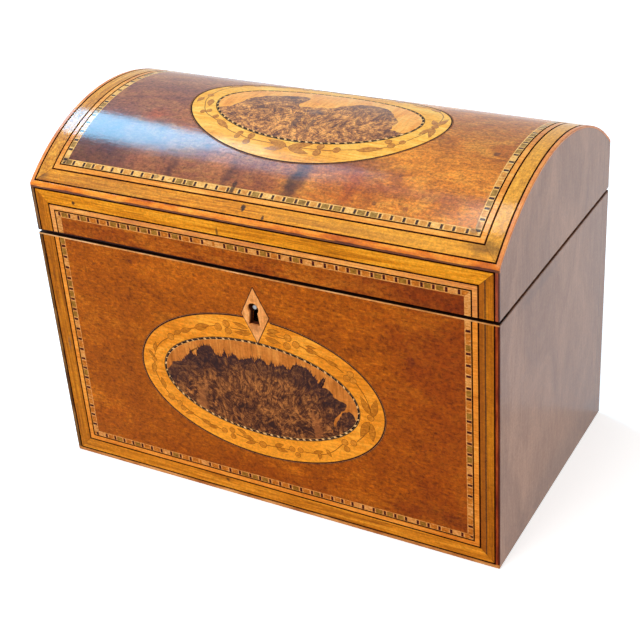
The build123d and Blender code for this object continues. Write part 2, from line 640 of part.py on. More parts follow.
with BuildPart() as dome_rope_string:
    dome_sheet(CHEQUER_IN, DOME_RADIUS, VENEER_RADIUS)
    oval_over_dome(grown(DOME_OVAL_INNER, ROPE_STRING), Mode.INTERSECT)
    oval_over_dome(DOME_OVAL_INNER, Mode.SUBTRACT)
finish(dome_rope_string.part, "dome_rope_string")

with BuildPart() as dome_oval_panel:
    dome_sheet(CHEQUER_IN, DOME_RADIUS, VENEER_RADIUS)
    oval_over_dome(DOME_OVAL_INNER, Mode.INTERSECT)
finish(dome_oval_panel.part, "dome_oval_panel")
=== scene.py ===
import math
import random
from collections import namedtuple

import bmesh
import bpy
from mathutils import Matrix, Vector


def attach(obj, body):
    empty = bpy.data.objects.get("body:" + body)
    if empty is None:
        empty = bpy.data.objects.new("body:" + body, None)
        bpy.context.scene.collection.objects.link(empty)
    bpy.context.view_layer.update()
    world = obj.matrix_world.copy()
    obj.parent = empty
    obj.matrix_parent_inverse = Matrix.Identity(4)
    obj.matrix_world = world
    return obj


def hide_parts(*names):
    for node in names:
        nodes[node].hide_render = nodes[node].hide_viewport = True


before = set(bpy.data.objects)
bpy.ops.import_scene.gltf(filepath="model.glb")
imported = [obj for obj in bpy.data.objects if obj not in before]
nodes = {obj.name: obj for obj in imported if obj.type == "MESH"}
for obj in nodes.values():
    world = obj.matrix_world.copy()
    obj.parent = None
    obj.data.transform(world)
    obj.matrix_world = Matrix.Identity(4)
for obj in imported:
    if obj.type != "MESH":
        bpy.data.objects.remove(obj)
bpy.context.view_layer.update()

# Sizes, in millimetres. x runs along the front, y to the back and z up.
HALF_WIDTH = 95.0
FRONT = -55.5
BASE = 0.5
RIM_LOW, RIM_TOP = 102.1, 102.7
LID_BOTTOM = 103.9
AXIS_Z, RADIUS = 62.1, 82.7  # of the dome's arc
ARC_HALF = RADIUS * math.asin(-FRONT / RADIUS)
ARRIS = AXIS_Z + math.sqrt(RADIUS ** 2 - FRONT ** 2)
LAYER = 0.8  # thickness of the tiles and veneers that stand for a node
DOME_STRIP = 2.0  # width of the strips in which pieces follow the dome
PROUD = dict(raised=0.03, thick=0.05)  # for lines laid over the veneer
OUTLINE = 0.14  # of the leaves and berries
# The frame's parts, measured inwards from the arris
BANDING_OUT, BANDING_IN, BANDING_GAP = 1.95, 7.15, 0.08
CHEQUER_OUT, CHEQUER_IN = 10.05, 12.35
CHEQUER_EDGE_OUT, CHEQUER_EDGE_IN = 0.14, 0.34
MITRE = 0.06  # how far short of its mitre each piece stops, along its length
BAR, SLIP, SQUARE = 0.95, 0.5, 2.6  # lengths of the chequer band's tiles

ROPE = 1.1  # width of the rope string
DIAMOND, DIAMOND_HALF = (0.6, 86.0), (5.7, 11.35)  # the escutcheon's middle and half its size
LOCK_PLATE = -46.7
INNER_LID_TOP, PARTITION_TOP = 92.0, 92.3
SCREW_RADIUS = 1.35


# Camera
camera = bpy.data.objects.new("camera", bpy.data.cameras.new("camera"))
bpy.context.scene.collection.objects.link(camera)
camera.location = (0.2402113, -0.4146218, 0.3306798)
camera.rotation_euler = [math.radians(a) for a in (59.96575, 3.75706, 28.45282)]
camera.data.lens = 77.2
camera.data.sensor_width = 36.0
camera.data.clip_start = 0.01
bpy.context.scene.camera = camera


# Materials
def shade(red, green, blue):
    """A colour given as it looks on a screen, 0 to 255, as the shader wants it."""
    parts = []
    for value in (red, green, blue):
        value /= 255
        parts.append(value / 12.92 if value <= 0.04045 else ((value + 0.055) / 1.055) ** 2.4)
    return (*parts, 1.0)


def add_node(tree, kind, inputs, output=0, **settings):
    """Adds a shader node and returns its output."""
    made = tree.nodes.new("ShaderNode" + kind)
    for name, value in settings.items():
        setattr(made, name, value)
    for name, value in inputs.items():
        put(tree, made.inputs[name], value)
    return made.outputs[output]


def put(tree, socket, value):
    """Links or sets a socket. A colour is given as three numbers, 0 to 255, as it looks on a screen."""
    if isinstance(value, bpy.types.NodeSocket):
        tree.links.new(value, socket)
    elif socket.type == "RGBA":
        socket.default_value = shade(*value)
    else:
        socket.default_value = value


paints = {}


class Paint:
    """One material's nodes. Sizes and places are in millimetres of the object's own frame."""

    def __init__(self, name, roughness=0.4, specular=0.3, coat=0.0, coat_roughness=0.15, metallic=0.0):
        self.material = paints[name] = bpy.data.materials.new(name)
        self.material.use_nodes = True
        self.tree = self.material.node_tree
        self.shader = self.tree.nodes["Principled BSDF"].inputs
        self.set({"Roughness": roughness, "Specular IOR Level": specular, "Coat Weight": coat,
                  "Coat Roughness": coat_roughness, "Metallic": metallic})
        self.place = self.node("TexCoord", {}, "Object")

    def set(self, values):
        for name, value in values.items():
            put(self.tree, self.shader[name], value)

    def node(self, kind, inputs, output=0, **settings):
        return add_node(self.tree, kind, inputs, output, **settings)

    def math(self, operation, first, second=0.0, clamp=False):
        return self.node("Math", {0: first, 1: second}, operation=operation, use_clamp=clamp)

    def times(self, first, second):
        return self.math("MULTIPLY", first, second)

    def plus(self, first, second):
        return self.math("ADD", first, second)

    def minus(self, first, second):
        return self.math("SUBTRACT", first, second)

    def mapped(self, size, shift=0.0, source=None, turn=(0, 0, 0)):
        return self.node("Mapping", {"Vector": source or self.place, "Scale": [1000 / s for s in size],
                                     "Location": (shift, shift * 1.7, shift * 0.6),
                                     "Rotation": [math.radians(a) for a in turn]})

    def noise(self, size, detail=3.0, rough=0.55, bend=0.0, shift=0.0, source=None, turn=(0, 0, 0)):
        return self.node("TexNoise", {"Vector": self.mapped(size, shift, source, turn), "Scale": 1.0,
                                      "Detail": detail, "Roughness": rough, "Distortion": bend})

    def cells(self, size, shift=0.0):
        return self.node("TexVoronoi", {"Vector": self.mapped(size, shift), "Scale": 1.0})

    def ramp(self, source, stops):
        colour = self.node("ValToRGB", {"Fac": source})
        points = colour.node.color_ramp.elements
        for point, (place, tint) in ((points[0], stops[0]), (points[1], stops[-1])):
            point.position, point.color = place, shade(*tint)
        for place, tint in stops[1:-1]:
            points.new(place).color = shade(*tint)
        return colour

    def level(self, source, low, high):
        """0 where the source is below low, 1 above high."""
        return self.node("MapRange", {"Value": source, "From Min": low, "From Max": high},
                         interpolation_type="SMOOTHSTEP")

    def band(self, source, low, high, soft=0.4):
        """1 where the source is between low and high."""
        return self.times(self.level(source, low - soft, low), self.level(source, high + soft, high))

    def mix(self, amount, first, second, mode="MIX"):
        return self.node("Mix", {0: amount, 6: first, 7: second}, 2, data_type="RGBA", blend_type=mode)

    def tint(self, where, amount, tint, mode="MIX"):
        """Lays a tint over the colour so far."""
        self.colour = self.mix(self.times(where, amount), self.colour, tint, mode)

    def axis(self, name):
        return self.times(self.node("SeparateXYZ", {0: self.place}, name), 1000.0)

    def spot(self, centre, size):
        """1 in the middle of a spot, 0 outside it, with an uneven edge that is soft on all but the smallest."""
        inside = self.node("Mapping", {"Vector": self.place, "Location": [c / 1000 for c in centre],
                                       "Scale": [s / 1000 for s in size]}, vector_type="TEXTURE")
        far = self.node("VectorMath", {0: inside}, "Value", operation="LENGTH")
        edge = self.noise([max(min(size) * 0.9, 0.5)] * 3, 3.0, 0.6)
        far = self.plus(far, self.times(self.minus(edge, 0.5), 1.4))
        return self.level(far, 1.3, 0.15) if min(size) > 2.0 else self.level(far, 1.15, 0.55)

    def blotch(self, marks):
        """Lays marks over the colour: stains, and in some materials painted light and painted shade. Each has a
        middle, a size, a tint and a strength.
        """
        for centre, size, tint, amount in marks:
            self.tint(self.spot(centre, size), amount, tint)

    def speckle(self, amount, shift=0.0):
        """Neutral fine grain, a little drawn out on the slant: the same share lighter or darker everywhere."""
        even = self.noise((1.0, 1.0, 1.0), 2.0, 0.75, 0.0, shift + 40.0)
        slanted = self.noise((2.4, 1.0, 1.0), 3.0, 0.7, 0.6, shift + 47.0, turn=(0, 35, 25))
        grain = self.times(self.plus(even, slanted), 0.5)
        light = self.plus(self.times(self.minus(grain, 0.5), amount * 24), 1.0)
        grey = self.node("CombineColor", dict.fromkeys(range(3), light))
        self.colour = self.mix(1.0, self.colour, grey, "MULTIPLY")

    def done(self, height=None, depth=0.02, bevel=0.0):
        normal = self.node("Bevel", {"Radius": bevel / 1000}, samples=6) if bevel else None
        if height is not None:
            under = {"Normal": normal} if normal else {}
            normal = self.node("Bump", {"Strength": 0.6, "Distance": depth / 1000, "Height": height, **under})
        if normal:
            self.set({"Normal": normal, "Coat Normal": normal})
        self.set({"Base Color": self.colour})


def wood(name, dark, middle, pale, along="x", fibre=0.45, length=16.0, cloud=(34.0, 15.0), balance=0.5,
         fleck=0.0, pores=0.25, streak=0.0, patch=(), speckle=0.05, bump=0.02, bevel=0.0, shift=0.0, marks=(),
         **finish):
    """Veneer: fibres along one axis, slow clouds of colour, pores, flecks, streaks and darker patches."""
    paint = Paint(name, **finish)
    lengthwise = {"x": 0, "y": 1, "z": 2}[along]

    def size(run, across):
        return [run if axis == lengthwise else across for axis in range(3)]

    fibres = paint.noise(size(length, fibre), 4.0, 0.6, 0.3, shift)
    clouds = paint.noise(size(*cloud), 4.0, 0.6, 0.9, shift + 5.0)
    value = paint.plus(paint.times(fibres, balance), paint.times(clouds, 1 - balance))
    paint.colour = paint.ramp(value, [(0.36, dark), (0.5, middle), (0.63, pale)])
    if fleck:
        grain = paint.noise((1.3, 1.3, 1.3), 3.0, 0.65, 0.8, shift + 9.0)
        paint.tint(paint.level(grain, 0.52, 0.68), fleck, pale)
        paint.tint(paint.level(grain, 0.46, 0.3), fleck, dark)
    for amount, tint, reach in patch:
        blotch = paint.noise(size(reach * 1.3, reach), 4.0, 0.6, 1.2, shift + 21.0 + reach)
        paint.tint(paint.level(blotch, 0.5, 0.68), amount, tint)
    if streak:
        lines = paint.noise(size(9.0, 0.5), 3.0, 0.6, 0.2, shift + 13.0)
        paint.tint(paint.level(lines, 0.56, 0.7), streak, dark)
    if pores:
        lines = paint.noise(size(4.0, 0.22), 2.0, 0.5, 0.1, shift + 3.0)
        paint.tint(paint.level(lines, 0.6, 0.72), pores, dark, "MULTIPLY")
    paint.blotch(marks)
    paint.speckle(speckle, shift)
    paint.done(fibres, bump, bevel)


POLISH = dict(roughness=0.45, specular=0.06, coat=0.5, coat_roughness=0.12)
DULL = dict(roughness=0.5, specular=0.04, coat=0.05, coat_roughness=0.2)
FLECKED = dict(fibre=0.9, balance=0.45, fleck=0.35, pores=0.1, streak=0.06, speckle=0.14, **DULL)
BANDED = dict(fibre=0.6, length=20.0, cloud=(50.0, 3.0), pores=0.4, streak=0.3, speckle=0.07)
SATIN = dict(fibre=0.9, length=12.0, cloud=(26.0, 16.0), fleck=0.2)
SKY = dict(fibre=0.9, length=12.0, cloud=(18.0, 10.0))
BRUISE = (40, 28, 24)
GREY_DIRT = (104, 74, 44)


# Stains, and a painted light on the dome's banding: each has a middle, a size, a tint and a strength
def front_mark(x, z, wide, deep, tall, tint, amount):
    return (x, FRONT, z), (wide, deep, tall), tint, amount


def dome_mark(x, run, wide, deep, tint, amount):
    """A stain on the dome, run millimetres over it from its front arris."""
    angle = (run - ARC_HALF) / RADIUS
    return (x, RADIUS * math.sin(angle), AXIS_Z + RADIUS * math.cos(angle)), (wide, deep, deep), tint, amount


FIELD_MARKS = [front_mark(*row) for row in (
    (72, 88, 28, 20, 22, (120, 44, 8), 0.4), (88, 60, 44, 20, 75, (134, 50, 4), 0.6),
    (0, 10, 95, 20, 11, (132, 52, 6), 0.5), (-60, 50, 4.5, 20, 46, (138, 60, 6), 0.45),
    (72, 17, 24, 20, 5, (104, 34, 8), 0.55), (-30, 95, 40, 20, 9, (206, 104, 16), 0.25),
    (-40, 50, 60, 20, 60, (150, 74, 4), 0.4), (62.5, 81, 1.7, 2, 2.4, (108, 42, 14), 0.6),
    (-52.9, 97.9, 1.2, 1.5, 1, (92, 36, 16), 0.6),
)]
DOME_MARKS = [dome_mark(*row) for row in (
    (-68, 48, 74, 58, (92, 60, 74), 0.62), (-90, 15, 62, 20, (52, 22, 34), 0.72),
    (-30, 15, 52, 13, (96, 44, 42), 0.32), (-6, 22, 34, 13, (96, 48, 44), 0.28),
    (-78, 30, 44, 13, (40, 24, 60), 0.5), (30, 31, 20, 6, (78, 38, 46), 0.6),
    (12.3, 17, 4.6, 13, (40, 16, 26), 0.85), (15, 27, 3.4, 9, (60, 28, 34), 0.7),
    (-14, 17, 2.3, 10, (60, 28, 30), 0.6), (-38, 14, 2.1, 10, (66, 26, 22), 0.6),
    (34, 19, 3.2, 12, (160, 40, 12), 0.55), (70, 64, 34, 26, (110, 44, 22), 0.45),
    (66, 22, 34, 3, (120, 60, 66), 0.35), (62, 36, 30, 14, (230, 138, 36), 0.35),
    (-20, 21, 7, 7, (206, 120, 60), 0.4), (-52, 18, 8, 6, (170, 92, 56), 0.4),
    (30, 16, 17, 17, (170, 80, 6), 0.6), (-58.3, 40.5, 5.5, 4, (180, 84, 48), 0.75),
    (77.4, 46.5, 1.5, 1.4, (70, 34, 24), 0.75), (44.9, 15.4, 1.2, 1.2, (84, 40, 24), 0.65),
    (56.7, 15.2, 1.1, 1.1, (120, 54, 30), 0.6), (-9.6, 13.4, 1.0, 1.6, (30, 16, 18), 0.8),
)]
CHEQUER_MARKS = [dome_mark(*row) for row in (
    (-9.6, 11.4, 1.0, 1.9, BRUISE, 0.85), (-83.0, 11.6, 2.4, 2.2, BRUISE, 0.6),
    (-42.0, 11.4, 1.5, 0.9, BRUISE, 0.5), (82.6, 13.0, 1.6, 3.0, BRUISE, 0.55),
)]
BANDING_SPLIT = [
    ((-75.5, -55.5, 118.2), (0.8, 1.0, 0.8), BRUISE, 0.9),
    ((-2.4, -51.6, 126.8), (1.0, 1.4, 1.6), BRUISE, 0.95),
    ((6.4, -53.4, 125.2), (0.6, 1.0, 1.0), BRUISE, 0.85),
    ((-12.0, -55.5, 117.6), (0.5, 1.0, 1.8), BRUISE, 0.7),
    ((-90.5, -52.5, 126.0), (2.6, 2.4, 2.4), (70, 48, 36), 0.7),
]
BANDING_DIRT = [
    ((-60.0, -55.0, 124.5), (30.0, 2.0, 1.2), GREY_DIRT, 0.4),
    ((-62.0, -52.5, 126.4), (34.0, 4.0, 3.0), (150, 98, 46), 0.35),
    ((40.0, -52.5, 126.2), (34.0, 2.0, 1.2), GREY_DIRT, 0.2),
    ((88.0, -50.5, 127.6), (7.0, 5.0, 2.4), (92, 58, 22), 0.6),
]
# Painted light: the dome's banding is made paler over its right half.
BANDING_PAINTED_LIGHT = ((60.0, 0.0, 130.0), (60.0, 90.0, 60.0), (246, 172, 54), 0.55)
BROWN_STRIP = [front_mark(88.7, 60, 1.3, 2, 400, (148, 74, 14), 0.6),
               front_mark(90, 60, 0.34, 2, 400, BRUISE, 0.75)]

# Veneers
wood("front_field", (138, 62, 4), (170, 82, 5), (198, 108, 16), length=3.2, cloud=(34.0, 20.0),
     patch=[(0.3, (146, 62, 6), 14.0)], marks=FIELD_MARKS, **FLECKED)
wood("lid_field", (128, 52, 4), (158, 74, 6), (186, 100, 18), length=3.6, cloud=(30.0, 12.0), shift=3.0,
     patch=[(0.3, (134, 52, 8), 12.0)], marks=[front_mark(84, 108, 50, 20, 20, (116, 38, 4), 0.8)], **FLECKED)
wood("dome_field", (146, 70, 14), (202, 110, 26), (236, 152, 52), fibre=0.9, length=5.0, cloud=(24.0, 11.0),
     balance=0.35, fleck=0.3, pores=0.2, streak=0.15, speckle=0.15, bump=0.05, shift=7.0, marks=DOME_MARKS,
     patch=[(0.42, (140, 62, 18), 7.0), (0.26, (236, 154, 56), 12.0)], **POLISH)
for name, dark, middle, pale, along, more in (
        ("front_banding_along", (158, 86, 12), (212, 126, 22), (238, 156, 42), "x",
         dict(marks=[front_mark(-20, 6.4, 0.9, 1, 0.9, BRUISE, 0.7)], **DULL)),
        ("front_banding_up", (130, 66, 4), (184, 102, 8), (212, 130, 22), "z",
         dict(marks=[front_mark(-89.6, 54, 0.8, 1, 3.4, (96, 72, 60), 0.5),
                     front_mark(91.6, 50, 60, 1, 60, (166, 92, 6), 0.3)] + BROWN_STRIP, **DULL)),
        ("lid_banding_top", (168, 92, 6), (226, 138, 18), (246, 166, 42), "x",
         dict(streak=0.4, shift=2.0, marks=[BANDING_SPLIT[0], BANDING_SPLIT[3]], **DULL)),
        ("lid_banding_along", (156, 82, 10), (216, 130, 20), (244, 162, 42), "x",
         dict(pores=0.45, streak=0.4, speckle=0.08, shift=2.0,
              marks=[BANDING_PAINTED_LIGHT] + BANDING_SPLIT + BANDING_DIRT, **POLISH)),
        ("lid_banding_over", (156, 86, 18), (216, 138, 36), (240, 168, 58), "y",
         dict(pores=0.45, streak=0.4, speckle=0.08, shift=4.0, patch=[(0.06, GREY_DIRT, 5.0)],
              marks=[BANDING_PAINTED_LIGHT] + BANDING_DIRT, **POLISH)),
        ("lid_banding_up", (130, 66, 4), (186, 104, 10), (214, 132, 26), "z",
         dict(shift=4.0, marks=BROWN_STRIP, **DULL))):
    wood(name, dark, middle, pale, along, **{**BANDED, **more})


def edging(name, dark, middle, pale, low, high, shift, front_face_darkening=0.0, **finish):
    """The arrises' edging: bright along the long sides, red-brown up the right side and olive up the left."""
    paint = Paint(name, **finish)
    x, y, z = (paint.axis(n) for n in "XYZ")
    fibres = paint.noise((16.0, 6.0, 6.0), 3.0, 0.6, 0.3, shift)
    grain = paint.noise((1.2, 1.2, 9.0), 3.0, 0.6, 0.3, shift + 2.0)
    paint.colour = paint.ramp(fibres, [(0.36, dark), (0.5, middle), (0.64, pale)])
    upright = paint.times(paint.band(z, low, high, 0.3), paint.level(y, -54.0, -54.6))
    for side, stops in ((1, [(0.3, (108, 30, 6)), (0.5, (150, 54, 10)), (0.7, (186, 82, 22))]),
                        (-1, [(0.36, (66, 34, 10)), (0.5, (112, 70, 24)), (0.64, (146, 100, 50))])):
        paint.tint(upright, paint.level(x, side * 93.0, side * 93.4), paint.ramp(grain, stops))
    outer = paint.times(upright, paint.level(x, 94.3, 94.55))
    paint.tint(outer, 0.8, (52, 16, 6))
    # Paler over the arches at the ends: partly the edging's own colour and partly a painted highlight.
    arch = paint.times(paint.level(paint.math("ABSOLUTE", x), 93.4, 93.6), paint.level(z, ARRIS, ARRIS + 0.8))
    paint.tint(arch, 0.55, (226, 146, 92))
    # A darker band on the front face just below the arris, with wavering edges.
    wander = paint.times(paint.minus(fibres, 0.5), 1.6)
    lower = paint.band(paint.plus(z, wander), ARRIS - 1.7, ARRIS - 0.75, 0.15)
    lower = paint.times(lower, paint.level(y, -55.2, -55.4))
    paint.tint(lower, front_face_darkening, (64, 24, 8))
    paint.speckle(0.05)
    paint.done(bevel=0.5)


edging("front_edging_wood", (170, 98, 44), (210, 138, 70), (232, 168, 104), 2.2, RIM_LOW - 0.1, 0.0, **DULL)
edging("lid_edging_wood", (190, 86, 8), (230, 122, 20), (248, 158, 50), 100.0, 121.6, 3.0, 0.85, roughness=0.4,
       specular=0.1, coat=0.2, coat_roughness=0.15)
wood("ebony_wood", (20, 6, 2), (40, 13, 5), (68, 26, 12), fibre=0.4, length=12.0, pores=0.0, roughness=0.6,
     specular=0.0)
wood("boxwood", (206, 110, 26), (236, 140, 44), (250, 166, 68), fibre=0.5, length=20.0, pores=0.1, **DULL)
wood("lid_boxwood", (196, 104, 26), (232, 142, 46), (248, 172, 76), fibre=0.5, length=20.0, pores=0.1, **POLISH)
# The mark makes the oval border paler over its lower half: painted light.
wood("front_satinwood", (206, 114, 14), (234, 138, 28), (252, 166, 52), pores=0.08, speckle=0.07,
     marks=[front_mark(0, 20, 80, 20, 34, (255, 164, 44), 0.6)], **SATIN, **DULL)
wood("dome_satinwood", (228, 142, 36), (252, 174, 64), (255, 202, 98), pores=0.1, speckle=0.06, roughness=0.45,
     specular=0.06, coat=0.25, coat_roughness=0.16, **SATIN)
wood("escutcheon_wood", (206, 126, 58), (238, 154, 82), (250, 178, 108), "z", fibre=0.5, length=9.0,
     cloud=(10.0, 5.0), pores=0.15, bevel=0.2,
     marks=[front_mark(0.6, 81, 2.4, 1, 2.2, (150, 82, 50), 0.45)], **DULL)
END_MARKS = [((95.0, 49.0, 60.0), (3.0, 0.22, 120.0), (70, 44, 36), 0.5),
             ((95.0, -20.0, 99.0), (3.0, 26.0, 3.0), (104, 70, 56), 0.4),
             ((95.0, 10.0, 8.0), (3.0, 60.0, 9.0), (112, 76, 60), 0.4)]
wood("end_wood", (136, 88, 62), (154, 105, 76), (172, 122, 92), "z", fibre=0.9, length=9.0, cloud=(40.0, 22.0),
     balance=0.3, fleck=0.2, pores=0.15, streak=0.05, patch=[(0.25, (128, 82, 60), 26.0)], speckle=0.04,
     marks=END_MARKS, **POLISH)
KEYHOLE_SHADE = ((0.0, -51.0, 86.0), (7.0, 5.0, 9.0), (18, 10, 8), 0.95)
wood("mahogany", (92, 40, 20), (124, 58, 30), (150, 78, 42), fibre=0.5, length=30.0, pores=0.4,
     marks=[KEYHOLE_SHADE], roughness=0.6, specular=0.2)
wood("front_sky", (170, 92, 28), (202, 116, 42), (224, 142, 60), "z", pores=0.2,
     marks=[front_mark(-2.4, 70, 0.25, 2, 8, BRUISE, 0.35)], **SKY, **DULL)
wood("dome_sky", (224, 130, 42), (248, 158, 60), (255, 186, 90), "y", pores=0.15, **SKY, **POLISH)


def rim():
    """The rim: a pale front, sides like the ends, and painted shade on the top near the front, under the lid's
    gap.
    """
    paint = Paint("rim_wood", **DULL)
    grain = paint.noise((20.0, 0.8, 0.8), 3.0, 0.6, 0.3)
    y, z = paint.axis("Y"), paint.axis("Z")
    side = paint.ramp(grain, [(0.36, (92, 58, 40)), (0.64, (128, 86, 62))])
    front = paint.ramp(grain, [(0.36, (198, 126, 62)), (0.5, (220, 152, 86)), (0.64, (240, 184, 126))])
    paint.colour = paint.mix(paint.level(y, -55.38, -55.44), side, front)
    # Painted shade: the top is darkened near the front, where the closed lid shades it.
    top = paint.level(z, RIM_TOP - 0.1, RIM_TOP - 0.02)
    paint.tint(top, paint.level(y, -44.0, -50.0), (32, 16, 10))
    paint.speckle(0.08)
    paint.done()


rim()


def burr(name, dark, middle, pale, tip, root, reach, vein, spread, marks, scale=1.0, **finish):
    """Burr: wavy flames that fan out from a root, with curls, thin dark veins and a crest that turns dark."""
    paint = Paint(name, **finish)
    across = paint.minus(paint.axis("X"), root[0])
    rise = paint.minus(paint.axis(spread), root[1])
    turned = paint.times(paint.math("ARCTAN2", across, rise), 34.0)
    flat = paint.times(across, 0.72)
    far = paint.math("SQRT", paint.plus(paint.times(flat, flat), paint.times(rise, rise)))
    fan = paint.node("CombineXYZ", {0: turned, 1: far})
    flames = paint.noise((2600.0, 7500.0, 1000.0), 4.0, 0.6, 3.0, 2.0, fan)
    curls = paint.noise((6.4 * scale, 6.4 * scale, 8.0 * scale), 5.0, 0.66, 4.6, 4.0)
    clouds = paint.noise((13.0, 13.0, 12.0), 3.0, 0.55, 1.4, 8.0)
    value = paint.plus(paint.times(flames, 0.26), paint.times(curls, 0.5))
    value = paint.plus(value, paint.times(clouds, 0.24))
    paint.colour = paint.ramp(value, [(0.43, dark), (0.5, middle), (0.58, pale)])
    line = paint.noise((6.8 * scale, 6.8 * scale, 8.8 * scale), 4.0, 0.62, 4.4, 15.0)
    gap = paint.math("ABSOLUTE", paint.minus(line, 0.5))
    paint.tint(paint.level(gap, 0.03, 0.006), vein, dark)
    eyes = paint.level(paint.cells((2.6, 2.6, 2.6), 1.0), 0.24, 0.06)
    paint.tint(eyes, 0.3, dark)
    wavering = paint.noise((2.2, 2.2, 6.0), 4.0, 0.7, 2.0, 11.0)
    edge = paint.plus(far, paint.times(paint.minus(wavering, 0.5), 26.0))
    paint.tint(paint.level(edge, reach - 8.0, reach + 3.0), tip[1], tip[0])
    paint.blotch(marks)
    paint.speckle(0.08)
    paint.done(curls, 0.03)


burr("front_burr", (52, 25, 18), (116, 64, 32), (184, 112, 54), ((48, 28, 30), 0.62), (-1.0, 30.0), 33.5,
     0.8, "Z", [front_mark(*row) for row in (
         (-27.3, 43, 2, 2, 7.5, (176, 104, 52), 0.5), (-25, 49, 0.9, 2, 5, (186, 112, 58), 0.4),
         (23.4, 42, 2, 2, 6.5, (172, 98, 48), 0.5), (21.6, 47, 0.9, 2, 4, (184, 108, 54), 0.4))], **DULL)
burr("dome_burr", (90, 46, 34), (186, 114, 58), (250, 168, 84), ((80, 46, 42), 0.5), (2.0, -30.0), 38.0,
     1.0, "Y", [
         ((1.5, -3.0, 144.8), (4.0, 3.0, 4.0), (88, 74, 78), 0.6),
         ((-2.0, -12.0, 143.8), (1.2, 6.0, 4.0), (78, 52, 50), 0.6),
         ((4.5, -13.0, 143.8), (1.0, 6.0, 4.0), (78, 52, 50), 0.55)], 1.5, **POLISH)


def dyed(name, dark, middle, pale, finish, marks=()):
    """A small piece of dyed wood, nearly even in colour."""
    paint = Paint(name, **finish)
    grain = paint.noise((1.1, 1.1, 0.5), 3.0, 0.6)
    paint.colour = paint.ramp(grain, [(0.3, dark), (0.5, middle), (0.7, pale)])
    paint.blotch(marks)
    paint.speckle(0.04)
    paint.done(grain)


for name, finish, marks, woods in (
        ("front", DULL, (), {
            "bar": ((34, 5, 3), (66, 13, 7), (102, 30, 15)),
            "pale": ((188, 108, 38), (216, 140, 66), (238, 172, 98)),
            "olive": ((116, 70, 16), (148, 98, 28), (176, 124, 46)),
            "tan": ((158, 78, 14), (190, 104, 26), (220, 134, 46))}),
        ("lid", POLISH, CHEQUER_MARKS, {
            "bar": ((24, 8, 6), (48, 18, 12), (88, 40, 22)),
            "pale": ((214, 146, 66), (238, 176, 92), (250, 202, 126)),
            "olive": ((124, 84, 26), (156, 112, 42), (184, 140, 62)),
            "tan": ((184, 110, 40), (212, 138, 56), (234, 164, 78))})):
    for kind, tints in woods.items():
        dyed(f"{name}_chequer_{kind}", *tints, finish, marks)
for row in (
        ("rope_dark", (14, 5, 4), (28, 12, 8), (52, 26, 16), DULL),
        ("rope_pale", (204, 140, 72), (232, 174, 104), (248, 204, 146), DULL),
        ("line_dark", (22, 7, 3), (42, 15, 7), (70, 28, 12), DULL),
        ("line_pale", (176, 100, 48), (196, 120, 62), (216, 146, 86), DULL),
        ("front_leaf", (164, 84, 10), (192, 110, 20), (214, 134, 34), DULL),
        ("front_leaf_line", (104, 46, 4), (134, 64, 8), (160, 84, 16), DULL),
        ("front_berry", (184, 98, 16), (210, 124, 28), (228, 146, 46), DULL),
        ("dome_leaf", (160, 88, 18), (190, 116, 32), (214, 144, 50), POLISH),
        ("dome_leaf_line", (104, 46, 8), (132, 66, 16), (160, 90, 28), POLISH),
        ("front_tip", (40, 20, 20), (62, 34, 34), (92, 54, 44), DULL)):
    dyed(*row)


# Metal, foil and cloth
def metal(name, colour, blotch, roughness):
    paint = Paint(name, roughness=roughness, metallic=1.0)
    tarnish = paint.noise((3.0, 3.0, 3.0), 4.0, 0.6, 0.8)
    brushed = paint.noise((6.0, 0.25, 0.25), 2.0)
    paint.set({"Roughness": paint.math("ADD", paint.times(tarnish, 0.35), roughness - 0.16, True)})
    paint.colour = paint.mix(paint.level(tarnish, 0.42, 0.66), colour, blotch)
    paint.done(brushed, 0.01)


metal("brass", (214, 168, 88), (160, 112, 52), 0.28)
metal("steel", (150, 148, 146), (96, 88, 82), 0.34)
metal("slot_dark", (70, 50, 30), (34, 24, 16), 0.5)
paint = Paint("foil", roughness=0.38, metallic=1.0)
dents = paint.noise((5.0, 5.0, 5.0), 4.0, 0.6, 1.0)
creases = paint.plus(paint.cells((9.0, 9.0, 9.0), 2.0), dents)
paint.colour = paint.ramp(dents, [(0.3, (120, 118, 114)), (0.6, (176, 174, 168))])
paint.done(creases, 0.3)
paint = Paint("baize", roughness=0.95, specular=0.1)
nap = paint.noise((0.5, 0.5, 0.5), 3.0, 0.7)
paint.colour = paint.ramp(nap, [(0.3, (26, 56, 34)), (0.7, (52, 92, 58))])
paint.tint(paint.noise((30.0, 30.0, 30.0), 3.0), 0.5, (70, 88, 56))
paint.done(nap, 0.15)

NODE_PAINTS = {
    "front_field": "front_veneer", "lid_field": "lid_front_veneer", "dome_field": "dome_veneer",
    "front_edging_wood": "front_edging", "lid_edging_wood": "lid_edging",
    "ebony_wood": "front_ebony_lines lid_ebony_lines", "boxwood": "front_boxwood_string",
    "lid_boxwood": "lid_boxwood_string", "front_satinwood": "front_oval_border",
    "dome_satinwood": "dome_oval_border", "escutcheon_wood": "escutcheon", "rim_wood": "rim_edging",
    "end_wood": "left_veneer right_veneer back_veneer lid_left_veneer lid_right_veneer lid_back_veneer",
    "mahogany": "bottom_board front_board back_board left_board right_board partition lid_fillets_left "
                "lid_fillets_right lid_front_rail lid_back_rail lid_left_end lid_right_end dome_board "
                "inner_lid_left inner_lid_right",
    "foil": "tea_lining_left tea_lining_right", "baize": "base_baize",
    "brass": "hinge_leaves_body hinge_leaves_lid lock_case lock_cap link_plate",
    "steel": "hinge_pins drill_pin lock_bolt bolt_spring", "front_sky": "knob_left knob_right",
    "front_burr": "front_oval_panel dome_oval_panel",
    "front_banding_along": "front_crossbanding lid_crossbanding",
    "rope_dark": "front_rope_string dome_rope_string front_chequer_band lid_chequer_band",
}
for material, names in NODE_PAINTS.items():
    for name in names.split():
        materials = nodes[name].data.materials
        materials.clear()
        materials.append(paints[material])


